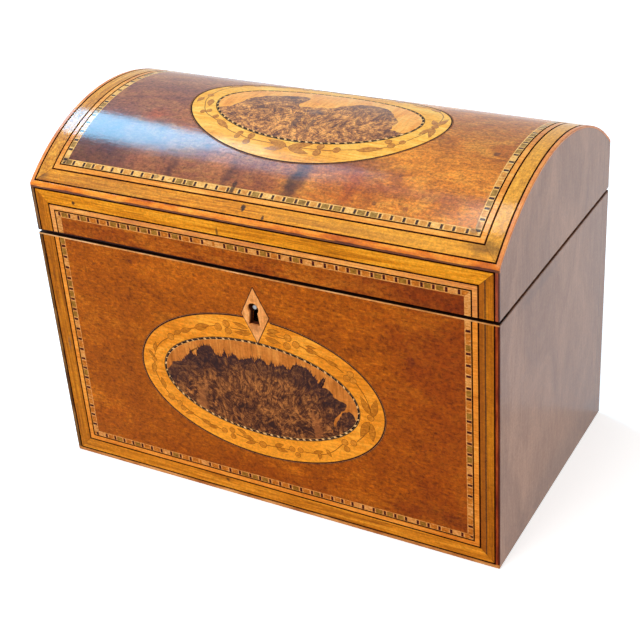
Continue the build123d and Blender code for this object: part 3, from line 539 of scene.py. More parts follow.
# Inlay
def on_front(u, v):
    return Vector((u, FRONT, v)), Vector((0, -1, 0))


def on_dome(u, v):
    """v runs over the dome from its front arris."""
    angle = (v - ARC_HALF) / RADIUS
    normal = Vector((0, math.sin(angle), math.cos(angle)))
    return Vector((u, 0, AXIS_Z)) + normal * RADIUS, normal


def on_plan(u, v):
    """v is the plan's y."""
    normal = Vector((0, v / RADIUS, math.sqrt(1 - (v / RADIUS) ** 2)))
    return Vector((u, 0, AXIS_Z)) + normal * RADIUS, normal


Oval = namedtuple("Oval", "name place body centre outer inner")
OVALS = (Oval("front", on_front, "caddy_body", (-1.0, 54.0), (52.6, 30.6), (41.4, 19.6)),
         Oval("dome", on_plan, "lid", (2.1, -2.6), (52.2, 30.8), (41.2, 20.0)))


def finish_mesh(name, made, normals, material, body, stands_for):
    mesh = bpy.data.meshes.new(name)
    made.to_mesh(mesh)
    made.free()
    if normals:
        for face in mesh.polygons:
            face.use_smooth = True
        mesh.normals_split_custom_set(normals)
    mesh.materials.append(paints[material])
    piece = bpy.data.objects.new(name, mesh)
    bpy.context.scene.collection.objects.link(piece)
    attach(piece, body)
    if stands_for:
        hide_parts(*stands_for)
    return piece


def inlay(name, outlines, place, material, body, finish, stands_for=(), raised=0.0, thick=LAYER):
    """Closed pieces of veneer with these outlines, let into a surface or standing a hair proud of it."""
    flat = bmesh.new()
    for outline in outlines:
        area = sum(a[0] * b[1] - b[0] * a[1] for a, b in pairs(outline))
        points = outline if area > 0 else outline[::-1]
        face = flat.faces.new([flat.verts.new((u, v, 0)) for u, v in points])
        face.normal_update()
        if len(points) > 8:
            bmesh.ops.triangulate(flat, faces=[face], ngon_method="EAR_CLIP")
    if place in (on_dome, on_plan):
        heights = [vert.co.y / DOME_STRIP for vert in flat.verts]
        for line in range(math.ceil(min(heights)), math.floor(max(heights)) + 1):
            bmesh.ops.bisect_plane(flat, geom=flat.verts[:] + flat.edges[:] + flat.faces[:], dist=1e-4,
                                   plane_co=(0, line * DOME_STRIP, 0), plane_no=(0, 1, 0))
    made = bmesh.new()
    top, bottom, facing = {}, {}, {}
    for vert in flat.verts:
        point, normal = place(vert.co.x, vert.co.y)
        top[vert] = made.verts.new((point + normal * raised) / 1000)
        bottom[vert] = made.verts.new((point - normal * thick) / 1000)
        facing[vert] = normal
    normals = []
    for face in flat.faces:
        loop = list(face.verts)
        if face.normal.z < 0:
            loop.reverse()
        made.faces.new([top[v] for v in loop])
        normals += [facing[v] for v in loop]
        made.faces.new([bottom[v] for v in reversed(loop)])
        normals += [-facing[v] for v in reversed(loop)]
        for first, second in pairs(loop):
            if len(flat.edges.get((first, second)).link_faces) == 1:
                side = made.faces.new([top[first], bottom[first], bottom[second], top[second]])
                side.normal_update()
                normals += [side.normal.copy()] * 4
    flat.free()
    return finish_mesh(name, made, normals, material, body, stands_for)


def pairs(loop):
    """Each item with the next one, and the last with the first."""
    return zip(loop, loop[1:] + loop[:1])


def cut(outline, keep):
    """The convex outline's part where keep(u, v) is above 0. keep is linear."""
    out = []
    for first, second in pairs(outline):
        a, b = keep(*first), keep(*second)
        if a >= 0:
            out.append(first)
        if (a > 0) != (b > 0) and a != b:
            t = a / (a - b)
            out.append((first[0] + (second[0] - first[0]) * t, first[1] + (second[1] - first[1]) * t))
    return out if len(out) > 2 else None


def ring_point(centre, half_axes, angle, out):
    """A point of an ellipse, moved outwards by out."""
    x, y = half_axes[0] * math.cos(angle), half_axes[1] * math.sin(angle)
    normal = Vector((x / half_axes[0] ** 2, y / half_axes[1] ** 2)).normalized()
    return (centre[0] + x + normal.x * out, centre[1] + y + normal.y * out)


def ellipse(centre, half_axes, start, end, count=90):
    """Points of an ellipse between two angles in degrees."""
    return [ring_point(centre, half_axes, math.radians(start + (end - start) * k / (count - 1)), 0.0)
            for k in range(count)]


class Run:
    """One side of the inlaid frame: along it from start to end, across from the arris inwards."""

    def __init__(self, start, end, place, mitre_start, mitre_end):
        self.start, self.end, self.place = start, end, place
        self.mitre_start, self.mitre_end = mitre_start, mitre_end

    def piece(self, first, last, out, inner):
        shape = [(max(first, self.start), out), (min(last, self.end), out),
                 (min(last, self.end), inner), (max(first, self.start), inner)]
        if shape[0][0] >= shape[1][0]:
            return None
        if self.mitre_start:
            shape = cut(shape, lambda t, w: t - self.start - w - MITRE)
        if shape and self.mitre_end:
            shape = cut(shape, lambda t, w: self.end - t - w - MITRE)
        return [self.place(t, w) for t, w in shape] if shape else None


def level_run(at, inwards):
    return Run(-HALF_WIDTH, HALF_WIDTH, lambda t, w: (t, at + inwards * w), True, True)


def side_runs(start, end, mitre_start, mitre_end):
    return [Run(start, end, lambda t, w, side=side: (side * (HALF_WIDTH - w), t), mitre_start, mitre_end)
            for side in (-1, 1)]


BODIES = {"front": "caddy_body", "lid": "lid"}
OVER = 2 * ARC_HALF
front_runs = [level_run(BASE, 1), *side_runs(BASE, RIM_LOW, True, False)]
lid_runs = [level_run(ARRIS, -1), *side_runs(LID_BOTTOM, ARRIS, False, True)]
dome_runs = [level_run(0, 1), level_run(OVER, -1), *side_runs(0, OVER, True, True)]

for name, part, runs, place, material in (
        ("front_banding_bottom", "front", front_runs[:1], on_front, "front_banding_along"),
        ("front_banding_sides", "front", front_runs[1:], on_front, "front_banding_up"),
        ("lid_banding_top", "lid", lid_runs[:1], on_front, "lid_banding_top"),
        ("lid_banding_sides", "lid", lid_runs[1:], on_front, "lid_banding_up"),
        ("dome_banding_long", "lid", dome_runs[:2], on_dome, "lid_banding_along"),
        ("dome_banding_ends", "lid", dome_runs[2:], on_dome, "lid_banding_over")):
    shapes = [run.piece(run.start, run.end, BANDING_OUT + BANDING_GAP, BANDING_IN - BANDING_GAP)
              for run in runs]
    inlay(name, shapes, place, material, BODIES[part], "crossbanding", [part + "_crossbanding"])


def chequer(label, part, runs, place, woods, seed):
    """The chequer band's tiles: a dark bar, a pale slip, a coloured square and a pale slip, again and again."""
    chance = random.Random(seed)
    out, inner = CHEQUER_OUT + CHEQUER_EDGE_OUT, CHEQUER_IN - CHEQUER_EDGE_IN
    shapes = {kind: [] for kind in ("bar", "pale", "olive", "tan")}

    def add(kind, run, first, last, low=out, high=inner):
        shape = run.piece(first, last, low, high)
        if shape:
            shapes[kind].append(shape)

    for run in runs:
        add("pale", run, run.start, run.end, CHEQUER_OUT, out)
        add("pale", run, run.start, run.end, inner, CHEQUER_IN)
        at = run.start + CHEQUER_OUT + chance.uniform(0.2, 1.6)
        add("pale", run, run.start, at)
        while at < run.end:
            width = SQUARE + chance.uniform(-0.25, 0.25)
            bar = "bar" if chance.random() < 0.95 else "tan"
            square = chance.choice(["olive", "tan", "olive", "tan", "pale"])
            for kind, length in ((bar, BAR), ("pale", SLIP), (square, width), ("pale", SLIP)):
                add(kind, run, at, at + length)
                at += length
    for kind, outlines in shapes.items():
        inlay(f"chequer_{label}_{kind}", outlines, place, f"{woods}_chequer_{kind}", BODIES[part], "chequer",
              [part + "_chequer_band"])


chequer("front", "front", front_runs, on_front, "front", 5)
chequer("lid", "lid", lid_runs, on_front, "front", 6)
chequer("dome", "lid", dome_runs, on_dome, "lid", 7)


def along_ellipse(half_axes, spacing):
    """Angles at equal steps along an ellipse, about spacing apart."""
    angles = [2 * math.pi * k / 3600 for k in range(3601)]
    points = [(half_axes[0] * math.cos(a), half_axes[1] * math.sin(a)) for a in angles]
    lengths = [0.0]
    for first, second in zip(points, points[1:]):
        lengths.append(lengths[-1] + math.dist(first, second))
    count = round(lengths[-1] / spacing)
    out, at = [], 0
    for index in range(count):
        while lengths[at] < lengths[-1] * index / count:
            at += 1
        out.append(angles[at])
    return out


def rope(oval):
    """The string of slanted black and white slips round the panel, between two lines."""
    fine = along_ellipse(oval.inner, 0.475)
    shapes = {"dark": [], "pale": []}

    def add(kind, first, last, low, high, slant=0):
        lower, upper = ([ring_point(oval.centre, oval.inner, fine[(k + shift) % len(fine)], out)
                         for k in range(first, last + 1)] for out, shift in ((low, 0), (high, slant)))
        shapes[kind].append(lower + upper[::-1])

    for index in range(0, len(fine), 2):
        add("pale", index, index + 2, 0.0, 0.06)
        add("dark", index, index + 2, 0.8, ROPE)
    count = len(fine) // 6
    for index in range(count):
        first, last = (round(k * len(fine) / count) for k in (index, index + 1))
        middle = first + (5 if abs(math.sin(fine[first]) - 0.35) < 0.65 and index % 3 else 4)
        add("dark", first, middle, 0.06, 0.76, 1)
        add("pale", middle, last, 0.06, 0.76, 1)
    for index in range(0, len(fine), 2):
        add("pale", index, index + 2, 0.76, 0.8)
    for kind, outlines in shapes.items():
        inlay(f"{oval.name}_rope_{kind}", outlines, oval.place, "rope_" + kind, oval.body, "chequer",
              [oval.name + "_rope_string"])


def in_diamond(point, grow=0.1):
    """Whether a point of the front lies on the escutcheon or within grow of it."""
    across = abs(point[0] - DIAMOND[0]) / (DIAMOND_HALF[0] + grow)
    return across + abs(point[1] - DIAMOND[1]) / (DIAMOND_HALF[1] + 2 * grow) < 1


def oval_lines(oval):
    """Two dark lines round the oval with a pale one between them. The front's stop at the escutcheon."""
    angles = along_ellipse(oval.outer, 1.4)
    for label, low, high, material in (("inner", -0.42, 0.14, "line_dark"), ("pale", 0.14, 0.26, "line_pale"),
                                       ("outer", 0.26, 0.42, "line_dark")):
        shapes = []
        for first, second in zip(angles, angles[1:] + [2 * math.pi]):
            shape = [ring_point(oval.centre, oval.outer, angle, out)
                     for angle, out in ((first, low), (first, high), (second, high), (second, low))]
            if not any(in_diamond(point) for point in shape):
                shapes.append(shape)
        inlay(f"{oval.name}_oval_line_{label}", shapes, oval.place, material, oval.body, "ebony", **PROUD)


for oval in OVALS:
    rope(oval)
for oval in OVALS:
    oval_lines(oval)

diamond = [(DIAMOND[0] + DIAMOND_HALF[0], DIAMOND[1]), (DIAMOND[0], DIAMOND[1] + DIAMOND_HALF[1]),
           (DIAMOND[0] - DIAMOND_HALF[0], DIAMOND[1]), (DIAMOND[0], DIAMOND[1] - DIAMOND_HALF[1])]
shapes = []
for first, second in pairs(diamond):
    outward = [(p[0] + (p[0] - DIAMOND[0]) * 0.06, p[1] + (p[1] - DIAMOND[1]) * 0.06) for p in (first, second)]
    shapes.append([first, outward[0], outward[1], second])
inlay("escutcheon_line", shapes, on_front, "line_dark", "caddy_body", "ebony", **PROUD)


# Ragged burr panels
def ragged(points, size, seed):
    """The line with small bushy wobbles between its points."""
    chance = random.Random(seed)
    for round_number in range(2):
        out = []
        for first, second in zip(points, points[1:]):
            length = math.dist(first, second)
            middle = ((first[0] + second[0]) / 2, (first[1] + second[1]) / 2)
            across = (-(second[1] - first[1]) / length, (second[0] - first[0]) / length)
            push = chance.uniform(-1, 1) * min(size, length * 0.16)
            out += [first, (middle[0] + across[0] * push, middle[1] + across[1] * push)]
        points = out + [points[-1]]
    return points


def split_oval(oval, crest, seed):
    """The panel in two veneers that meet along the crest, which runs from left to right."""
    def angle(point):
        across, up = ((point[k] - oval.centre[k]) / oval.inner[k] for k in (0, 1))
        return math.degrees(math.atan2(up, across)) % 360

    left, right = angle(crest[0]), angle(crest[-1])
    line = ragged(crest, 0.6, seed)
    lower = ellipse(oval.centre, oval.inner, left, right if right > left else right + 360)
    upper = ellipse(oval.centre, oval.inner, right if right < left else right - 360, left)
    line[0], line[-1] = lower[0], lower[-1]
    for label, outline in (("burr", lower + line[::-1][1:-1]), ("sky", upper + line[1:-1])):
        inlay(f"{oval.name}_{label}", [outline], oval.place, f"{oval.name}_{label}", oval.body, "burr",
              [oval.name + "_oval_panel"])


FRONT_CREST = [
    (-42.3, 53.2), (-39.5, 57.0), (-36.1, 57.9), (-33.9, 59.5), (-32.6, 61.3), (-30.8, 62.6), (-30.2, 64.7),
    (-29.4, 62.6), (-27.6, 62.0), (-27.3, 65.1), (-25.8, 66.6), (-23.9, 67.9), (-21.4, 68.5), (-20.1, 67.0),
    (-18.9, 65.1), (-17.0, 64.6), (-15.8, 65.0), (-14.8, 67.3), (-13.6, 64.8), (-12.0, 66.0), (-10.8, 67.0),
    (-9.5, 66.0), (-8.6, 65.0), (-6.4, 65.7), (-4.5, 66.6), (-2.9, 67.3), (-1.7, 65.6), (-0.4, 67.0),
    (0.5, 67.9), (2.4, 67.0), (3.6, 65.4), (4.9, 66.0), (5.8, 67.6), (6.8, 65.6), (8.6, 66.3), (10.5, 67.3),
    (12.1, 65.9), (13.6, 66.0), (14.9, 68.2), (16.4, 69.1), (18.6, 68.5), (21.1, 67.9), (22.4, 66.0),
    (24.2, 64.5), (25.0, 62.6), (27.2, 65.8), (27.9, 65.5), (25.9, 61.3), (27.7, 61.6), (29.6, 60.7),
    (31.1, 58.2), (33.6, 57.3), (36.1, 56.3), (35.6, 54.8), (33.6, 52.9), (31.8, 50.1), (30.2, 46.3),
    (29.0, 42.6), (29.4, 42.5), (31.2, 46.3), (32.9, 50.4), (34.9, 52.9), (37.1, 53.7), (38.8, 52.1),
    (39.5, 50.4),
]
DOME_CREST = [
    (-34.1, -9.0), (-30.3, -3.6), (-29.9, -0.3), (-27.4, 3.1), (-23.7, 6.0), (-17.4, 8.8), (-11.2, 10.1),
    (-7.4, 9.3), (-6.9, 6.0), (-8.2, 2.2), (-6.6, -0.5), (-2.8, 0.1), (1.8, 1.4), (5.9, 2.0), (8.0, 5.1),
    (11.3, 7.2), (14.2, 9.7), (19.2, 10.3), (23.4, 9.3), (27.6, 6.8), (30.1, 3.9), (32.6, 0.6), (34.7, -2.4),
    (34.2, -6.1), (34.8, -9.0), (38.5, -9.6),
]
split_oval(OVALS[0], FRONT_CREST, 3)
split_oval(OVALS[1], DOME_CREST, 4)


def burr_tips(oval, crest, seed, tall):
    """Fine dark tips that stand up from the crest."""
    chance = random.Random(seed)
    shapes = []
    for first, second in zip(crest, crest[1:]):
        count = max(1, round(math.dist(first, second) / 0.75))
        for index in range(count):
            t = (index + chance.random()) / count
            x, y = first[0] + (second[0] - first[0]) * t, first[1] + (second[1] - first[1]) * t
            lean = x / 90 + chance.uniform(-0.3, 0.3)
            rise = tall * chance.uniform(0.35, 1.0) ** 2
            half = chance.uniform(0.14, 0.34)
            bend = x + lean * rise * 0.6
            shapes.append([(x - half - lean * 0.8, y - 1.1), (x + half - lean * 0.8, y - 1.1),
                           (bend + half * 0.5, y + rise * 0.6), (x + lean * rise, y + rise),
                           (bend - half * 0.5, y + rise * 0.6)])
    inlay(oval.name + "_burr_tips", shapes, oval.place, oval.name + "_tip", oval.body, "burr", raised=0.02,
          thick=0.04)


burr_tips(OVALS[0], FRONT_CREST[2:48], 8, 1.7)


# Floral marquetry
def leaf(x, y, tip_x, tip_y, width, grow=0.0):
    length = math.dist((x, y), (tip_x, tip_y))
    along = Vector(((tip_x - x) / length, (tip_y - y) / length))
    across = Vector((-along.y, along.x))
    start = Vector((x, y)) - along * grow
    right, left = [], []
    for index in range(8):
        t = index / 7
        at = start + along * (length + 2 * grow) * t
        bulge = (width / 2 + grow) * math.sin(math.pi * t ** 0.8)
        right.append(tuple(at - across * bulge))
        left.append(tuple(at + across * bulge))
    return right + left[-2:0:-1]


def berry(x, y, radius, count=16):
    return [(x + radius * math.cos(2 * math.pi * k / count), y + radius * math.sin(2 * math.pi * k / count))
            for k in range(count)]


def smooth_path(points, count=6):
    """A smooth line through the points."""
    out = []
    last = len(points) - 1
    for index in range(last):
        p0, p1 = Vector(points[max(index - 1, 0)]), Vector(points[index])
        p2, p3 = Vector(points[index + 1]), Vector(points[min(index + 2, last)])
        for step in range(count):
            t = step / count
            out.append(0.5 * (2 * p1 + (p2 - p0) * t + (2 * p0 - 5 * p1 + 4 * p2 - p3) * t * t
                              + (3 * p1 - p0 - 3 * p2 + p3) * t ** 3))
    return out + [Vector(points[-1])]


def stem(points, width):
    shapes = []
    path = smooth_path(points)
    sides = []
    for index, point in enumerate(path):
        run = path[min(index + 1, len(path) - 1)] - path[max(index - 1, 0)]
        across = Vector((-run.y, run.x)).normalized() * width / 2
        sides.append((tuple(point - across), tuple(point + across)))
    for first, second in zip(sides, sides[1:]):
        shapes.append([first[0], second[0], second[1], first[1]])
    return shapes


FRONT_LEAVES = [
    (5.2, 80.8, 10.5, 81.2, 1.5), (4.8, 79.4, 9.5, 79.2, 1.3), (4.1, 77.3, 10.6, 76.3, 2.0),
    (29.0, 73.4, 33.6, 72.4, 1.5), (20.6, 76.4, 25.6, 75.6, 1.8), (21.0, 77.8, 25.0, 77.6, 1.1),
    (45.3, 54.9, 42.0, 61.6, 2.5), (46.4, 53.9, 48.3, 61.8, 2.7), (44.9, 51.4, 41.0, 44.0, 3.2),
    (45.8, 50.9, 46.0, 42.8, 2.5), (26.3, 34.0, 28.2, 31.2, 1.3), (23.4, 31.6, 23.0, 28.6, 1.5),
    (20.6, 31.0, 24.6, 32.6, 1.4), (4.2, 28.6, 9.2, 28.0, 1.7), (3.6, 29.4, 7.6, 31.0, 1.5),
    (-5.0, 28.8, -9.6, 27.2, 1.6), (-6.0, 29.6, -10.8, 30.6, 1.8), (-9.0, 31.4, -13.0, 33.0, 1.3),
    (-22.0, 31.2, -26.0, 30.6, 1.5), (-25.0, 31.6, -29.6, 33.2, 1.8), (-32.6, 35.0, -36.6, 34.2, 1.3),
    (-44.6, 43.6, -46.0, 48.2, 2.0), (-48.2, 54.4, -49.2, 49.6, 2.2), (-47.2, 60.0, -46.2, 64.4, 1.6),
    (-36.8, 70.2, -33.2, 72.0, 1.6), (-33.6, 71.8, -28.6, 74.0, 2.0), (-27.0, 74.8, -20.4, 77.4, 2.6),
    (-2.2, 77.6, -9.2, 77.0, 1.9), (-3.4, 79.6, -9.6, 81.2, 1.6), (-48.0, 57.4, -50.4, 60.2, 1.2),
]
FRONT_BERRIES = [
    (13.6, 79.5, 1.45), (16.8, 77.4, 1.4), (13.0, 76.0, 1.4), (38.4, 70.1, 1.3), (36.8, 68.0, 1.3),
    (39.4, 67.6, 1.2), (45.6, 53.3, 1.3), (38.0, 40.2, 1.2), (34.3, 39.5, 1.3), (35.0, 36.7, 1.2),
    (14.9, 30.5, 1.1), (13.6, 28.0, 1.1), (11.2, 30.0, 1.2), (-1.8, 28.5, 1.5), (-15.1, 28.8, 1.1),
    (-15.3, 31.5, 1.1), (-18.9, 30.4, 1.2), (-37.2, 36.2, 1.1), (-38.6, 38.2, 1.1), (-42.3, 40.1, 1.4),
    (-48.0, 56.2, 1.0), (-38.6, 68.4, 1.4), (-16.2, 77.6, 1.5), (-12.5, 79.8, 1.4), (-11.9, 76.8, 1.35),
]
FRONT_STEMS = [
    [(7.0, 79.0), (12.2, 78.9)], [(18.2, 77.3), (22.0, 76.2), (27.0, 74.4), (31.0, 72.8), (35.6, 70.2)],
    [(40.4, 67.0), (43.2, 63.0), (45.2, 58.6), (45.8, 54.6)], [(45.2, 50.6), (42.6, 45.0), (39.4, 41.2)],
    [(33.4, 38.6), (29.6, 34.4), (24.8, 31.4), (16.4, 30.2)], [(10.0, 29.4), (4.6, 29.0), (-0.2, 28.6)],
    [(-3.4, 28.6), (-8.0, 29.2), (-13.6, 30.2)], [(-20.2, 30.6), (-26.4, 32.2), (-33.0, 34.6), (-36.4, 36.8)],
    [(-39.6, 38.8), (-41.4, 39.6)], [(-43.2, 41.2), (-46.4, 46.0), (-48.2, 51.0), (-48.0, 55.2)],
    [(-47.8, 57.2), (-46.6, 60.8), (-43.6, 64.8), (-39.8, 67.6)], [(-37.4, 69.2), (-33.0, 72.2), (-26.0, 75.2),
                                                                    (-17.8, 77.8)],
    [(-10.8, 78.4), (-6.6, 78.6), (-2.6, 78.8)],
]
DOME_LEAVES = [
    (1.9, -26.3, -6.6, -24.4, 2.6), (1.3, -27.0, -5.8, -28.9, 2.2), (2.9, -26.3, 11.3, -23.4, 2.6),
    (2.9, -26.9, 11.8, -28.4, 2.2), (-32.4, -17.7, -25.3, -21.7, 2.2), (-42.8, -4.6, -40.8, -9.8, 2.4),
    (-46.9, -3.8, -47.5, -8.0, 1.9), (28.6, -23.2, 37.6, -20.4, 2.4), (49.3, -3.4, 50.4, -10.3, 2.2),
    (48.7, -3.4, 46.0, -9.4, 2.2), (49.4, -0.8, 50.6, 6.4, 2.2), (48.8, -0.8, 45.9, 3.6, 2.0),
    (44.0, 14.0, 38.6, 17.4, 2.2), (36.4, 18.8, 30.0, 20.6, 2.2), (14.0, 25.4, 6.0, 25.8, 2.4),
    (0.4, 26.0, -7.8, 25.4, 2.4), (-24.0, 21.6, -30.4, 19.4, 2.2), (-40.4, 14.2, -43.8, 9.4, 2.2),
]
DOME_BERRIES = [
    (-19.2, -23.2, 1.1), (-19.6, -25.0, 1.0), (-14.1, -23.8, 1.3), (-14.5, -26.9, 1.3), (-34.1, -16.0, 1.1),
    (-41.0, -14.0, 1.0), (-38.8, -13.0, 1.0), (14.7, -24.1, 1.3), (14.7, -27.2, 1.4), (21.3, -24.5, 1.3),
    (37.6, -16.2, 1.2), (39.6, -18.2, 1.3), (42.6, -15.4, 1.1), (49.1, -2.1, 1.2), (-45.3, -1.4, 1.1),
    (22.0, 24.4, 1.3), (24.0, 22.6, 1.2), (-14.0, 24.6, 1.3), (-17.0, 23.0, 1.2), (-35.6, 17.0, 1.2),
]
DOME_STEMS = [
    [(-45.2, -3.0), (-44.5, -6.1), (-42.4, -10.3), (-40.8, -12.7), (-38.2, -15.2), (-32.4, -18.1),
     (-24.5, -22.5), (-19.1, -24.1), (-14.1, -25.3), (-5.8, -25.9), (2.2, -26.6), (9.2, -26.1), (19.2, -25.3),
     (23.4, -24.1), (30.1, -22.5), (37.2, -20.0), (41.8, -16.8), (45.9, -11.1), (48.2, -6.9), (49.1, -3.4)],
    [(49.1, -0.8), (47.4, 9.0), (40.0, 16.6), (27.0, 22.6), (12.0, 25.4), (-6.0, 25.6), (-22.0, 22.2),
     (-36.0, 16.4), (-43.6, 8.2), (-45.4, -0.2)],
]


def marquetry(oval, leaves, berries, stems, round_fill):
    """The scroll's outlines and stems in a dark wood, with the leaves and berries laid over them."""
    outlines = [leaf(*item, OUTLINE) for item in leaves]
    outlines += [berry(x, y, radius + OUTLINE) for x, y, radius in berries]
    for points in stems:
        outlines += stem(points, 0.26)
    inlay(oval.name + "_scroll_lines", outlines, oval.place, oval.name + "_leaf_line", oval.body, "satinwood",
          **PROUD)
    for label, shapes, material in (("leaves", [leaf(*item) for item in leaves], oval.name + "_leaf"),
                                    ("berries", [berry(*item) for item in berries], round_fill)):
        inlay(f"{oval.name}_{label}", shapes, oval.place, material, oval.body, "satinwood", raised=0.05,
              thick=0.05)


marquetry(OVALS[0], FRONT_LEAVES, FRONT_BERRIES, FRONT_STEMS, "front_berry")
marquetry(OVALS[1], DOME_LEAVES, DOME_BERRIES, DOME_STEMS, "dome_leaf")


# A painted shadow along the lid's lower edge, edging lines of the inner lids and the partition, screws and
# turned knobs
# A dark strip painted on the lid's lower edge, tallest towards the left: the shadow of the gap under the lid.
inlay("lid_edge_painted_shadow", [[(-94.9, 103.92), (64.0, 103.92), (40.0, 104.0), (10.0, 104.1), (-20.0, 104.2),
                         (-45.0, 104.42), (-62.0, 104.55), (-76.0, 104.5), (-86.0, 104.35), (-94.9, 104.15)]],
      on_front, "line_dark", "lid", "ebony", **PROUD)


def on_top(height):
    return lambda u, v: (Vector((u, v, height)), Vector((0, 0, 1)))


def on_underside(height):
    return lambda u, v: (Vector((u, -v, height)), Vector((0, 0, -1)))


def on_lock_plate(u, v):
    return Vector((-u, LOCK_PLATE, v)), Vector((0, 1, 0))


def ring(left, right, front, back, width):
    """Four mitred strips inside a rectangle."""
    outer = [(left, front), (right, front), (right, back), (left, back)]
    inner = [(left + width, front + width), (right - width, front + width), (right - width, back - width),
             (left + width, back - width)]
    return [[outer[a], outer[b], inner[b], inner[a]] for a, b in pairs([0, 1, 2, 3])]


for side, left, right in (("left", -82.25, -7.85), ("right", 7.85, 82.25)):
    inlay("inner_lid_line_" + side, ring(left, right, -41.35, 42.75, 1.2), on_top(INNER_LID_TOP), "boxwood",
          "inner_lid_" + side, "boxwood", **PROUD)
inlay("partition_line", [[(-1.6, -46.4), (1.6, -46.4), (1.6, 47.8), (-1.6, 47.8)]], on_top(PARTITION_TOP),
      "boxwood", "caddy_body", "boxwood", **PROUD)


def screws(name, middles, place, body):
    """Slotted heads, a little proud, each slot at its own slant."""
    chance = random.Random(name)
    halves, floors = [], []
    for u, v in middles:
        slant = chance.uniform(0, math.pi)
        for side in (0, math.pi):
            arc = [slant + side + math.radians(7.5 + 165 * k / 12) for k in range(13)]
            halves.append([(u + SCREW_RADIUS * math.cos(a), v + SCREW_RADIUS * math.sin(a)) for a in arc])
        floors.append(berry(u, v, SCREW_RADIUS - 0.1))
    inlay(name + "_heads", halves, place, "brass", body, "brass", raised=0.15, thick=0.1)
    inlay(name + "_slots", floors, place, "slot_dark", body, "brass", **PROUD)


leaf_screws = [(x + side, 51.6) for x in (-58.0, 58.0) for side in (-9.0, 9.0)]
screws("body_hinge_screws", leaf_screws, on_top(RIM_TOP), "caddy_body")
screws("lid_hinge_screws", [(x, -y) for x, y in leaf_screws], on_underside(LID_BOTTOM), "lid")
screws("lock_screws", [(-22.0, 98.2), (22.0, 98.2)], on_lock_plate, "caddy_body")
screws("link_screws", [(-17.0, 50.05), (17.0, 50.05)], on_underside(LID_BOTTOM), "lid")

KNOB_PROFILE = [
    (0.0, 92.0), (4.2, 92.0), (4.2, 92.5), (3.9, 92.8), (3.0, 93.1), (2.4, 93.7), (2.15, 94.5), (2.15, 95.3),
    (2.5, 96.0), (3.3, 96.7), (4.15, 97.6), (4.55, 98.6), (4.55, 99.3), (4.2, 100.2), (3.4, 101.0),
    (2.4, 101.5), (1.75, 101.8), (1.65, 102.1), (1.6, 102.7), (1.3, 103.15), (0.0, 103.4),
]


def turned_knob(side, x, y, count=40):
    """A knob turned about an upright line from its profile of radius and height."""
    made = bmesh.new()
    rings = []
    for radius, height in KNOB_PROFILE:
        angles = [2 * math.pi * k / count for k in range(count if radius else 1)]
        rings.append([made.verts.new(((x + radius * math.cos(a)) / 1000, (y + radius * math.sin(a)) / 1000,
                                      height / 1000)) for a in angles])
    for lower, upper in zip(rings, rings[1:]):
        for k in range(count):
            corners = [lower[k % len(lower)], lower[(k + 1) % len(lower)], upper[(k + 1) % len(upper)],
                       upper[k % len(upper)]]
            made.faces.new(list(dict.fromkeys(corners)))
    piece = finish_mesh("turned_knob_" + side, made, None, "boxwood", "inner_lid_" + side,
                        ["knob_" + side])
    for face in piece.data.polygons:
        face.use_smooth = abs(face.normal.z) < 0.98


turned_knob("left", -45.05, 0.7)
turned_knob("right", 45.05, 0.7)


# Floor and light
def plane(name, size):
    mesh = bpy.data.meshes.new(name)
    corners = [(-size, -size, 0), (size, -size, 0), (size, size, 0), (-size, size, 0)]
    mesh.from_pydata(corners, [], [(0, 1, 2, 3)])
    piece = bpy.data.objects.new(name, mesh)
    bpy.context.scene.collection.objects.link(piece)
    return piece


def seen_directly(tree):
    """1 for rays from the camera and for those that gloss or glass sends on, otherwise 0."""
    rays = add_node(tree, "LightPath", {}).node.outputs
    total = rays["Is Camera Ray"]
    for name in ("Is Glossy Ray", "Is Transmission Ray"):
        total = add_node(tree, "Math", {0: total, 1: rays[name]}, operation="MAXIMUM")
    return total


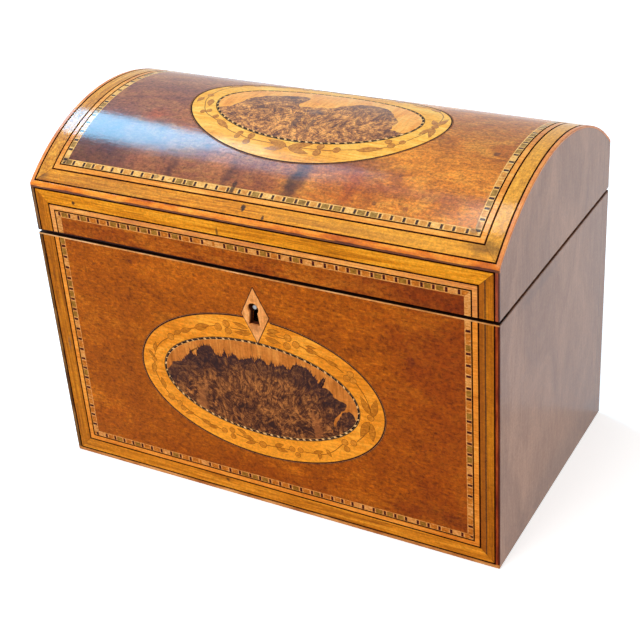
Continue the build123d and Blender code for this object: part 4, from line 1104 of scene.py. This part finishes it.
floor = plane("floor", 4.0)
floor_paint = bpy.data.materials.new("floor")
floor_paint.use_nodes = True
tree = floor_paint.node_tree
surface = tree.nodes["Principled BSDF"].inputs
surface["Base Color"].default_value = (0.82, 0.82, 0.82, 1)
surface["Roughness"].default_value = 0.9
surface["Specular IOR Level"].default_value = 0.1
surface["Emission Color"].default_value = (1, 1, 1, 1)
lift = add_node(tree, "Math", {0: seen_directly(tree), 1: 0.6}, operation="MULTIPLY")
put(tree, surface["Emission Strength"], lift)
floor.data.materials.append(floor_paint)

world = bpy.data.worlds.new("studio")
bpy.context.scene.world = world
world.use_nodes = True
tree = world.node_tree
background = tree.nodes["Background"].inputs
background["Color"].default_value = (1, 1, 1, 1)
strength = add_node(tree, "MapRange", {"Value": seen_directly(tree), "To Min": 0.42, "To Max": 1.0})
put(tree, background["Strength"], strength)


def lamp(name, place, towards, size, energy, colour=(1, 1, 1)):
    data = bpy.data.lights.new(name, "AREA")
    data.shape = "RECTANGLE"
    data.size, data.size_y = size
    data.energy = energy
    data.color = colour
    made = bpy.data.objects.new(name, data)
    bpy.context.scene.collection.objects.link(made)
    made.location = place
    made.rotation_euler = (Vector(towards) - Vector(place)).to_track_quat("-Z", "Y").to_euler()
    return made


lamp("front_softbox", (-0.42, -1.02, 1.12), (0, 0, 0.07), (0.9, 0.7), 13.0)
lamp("side_softbox", (1.25, -0.1, 0.6), (0, 0, 0.07), (0.7, 0.7), 2.5)
window_at, window_aim = (-0.794, 0.316, 1.068), (-0.03, 0, 0.13)
window = lamp("window", window_at, window_aim, (0.3, 0.3), 7.6, (0.24, 0.66, 1.0))
lamp("glint", (-0.249, 0.006, 1.075), (0.09, -0.041, 0.134), (0.3, 0.05), 0.7, (1.0, 0.93, 0.86))
across = Vector((0.817, 0.191, 0.544))
upwards = Vector((0.0, 0.944, -0.331))
turn = math.radians(-31)
window_x = across * math.cos(turn) + upwards * math.sin(turn)
window_y = upwards * math.cos(turn) - across * math.sin(turn)
window.rotation_euler = Matrix((window_x, window_y, window_x.cross(window_y))).transposed().to_euler()
pane_at = Vector(window_at) + window_x.normalized() * 0.25
pane = lamp("window_pane", pane_at, window_aim, (0.2, 0.24), 1.2, (0.24, 0.6, 1.0))
pane.rotation_euler = window.rotation_euler

bpy.context.scene.view_settings.view_transform = "Standard"
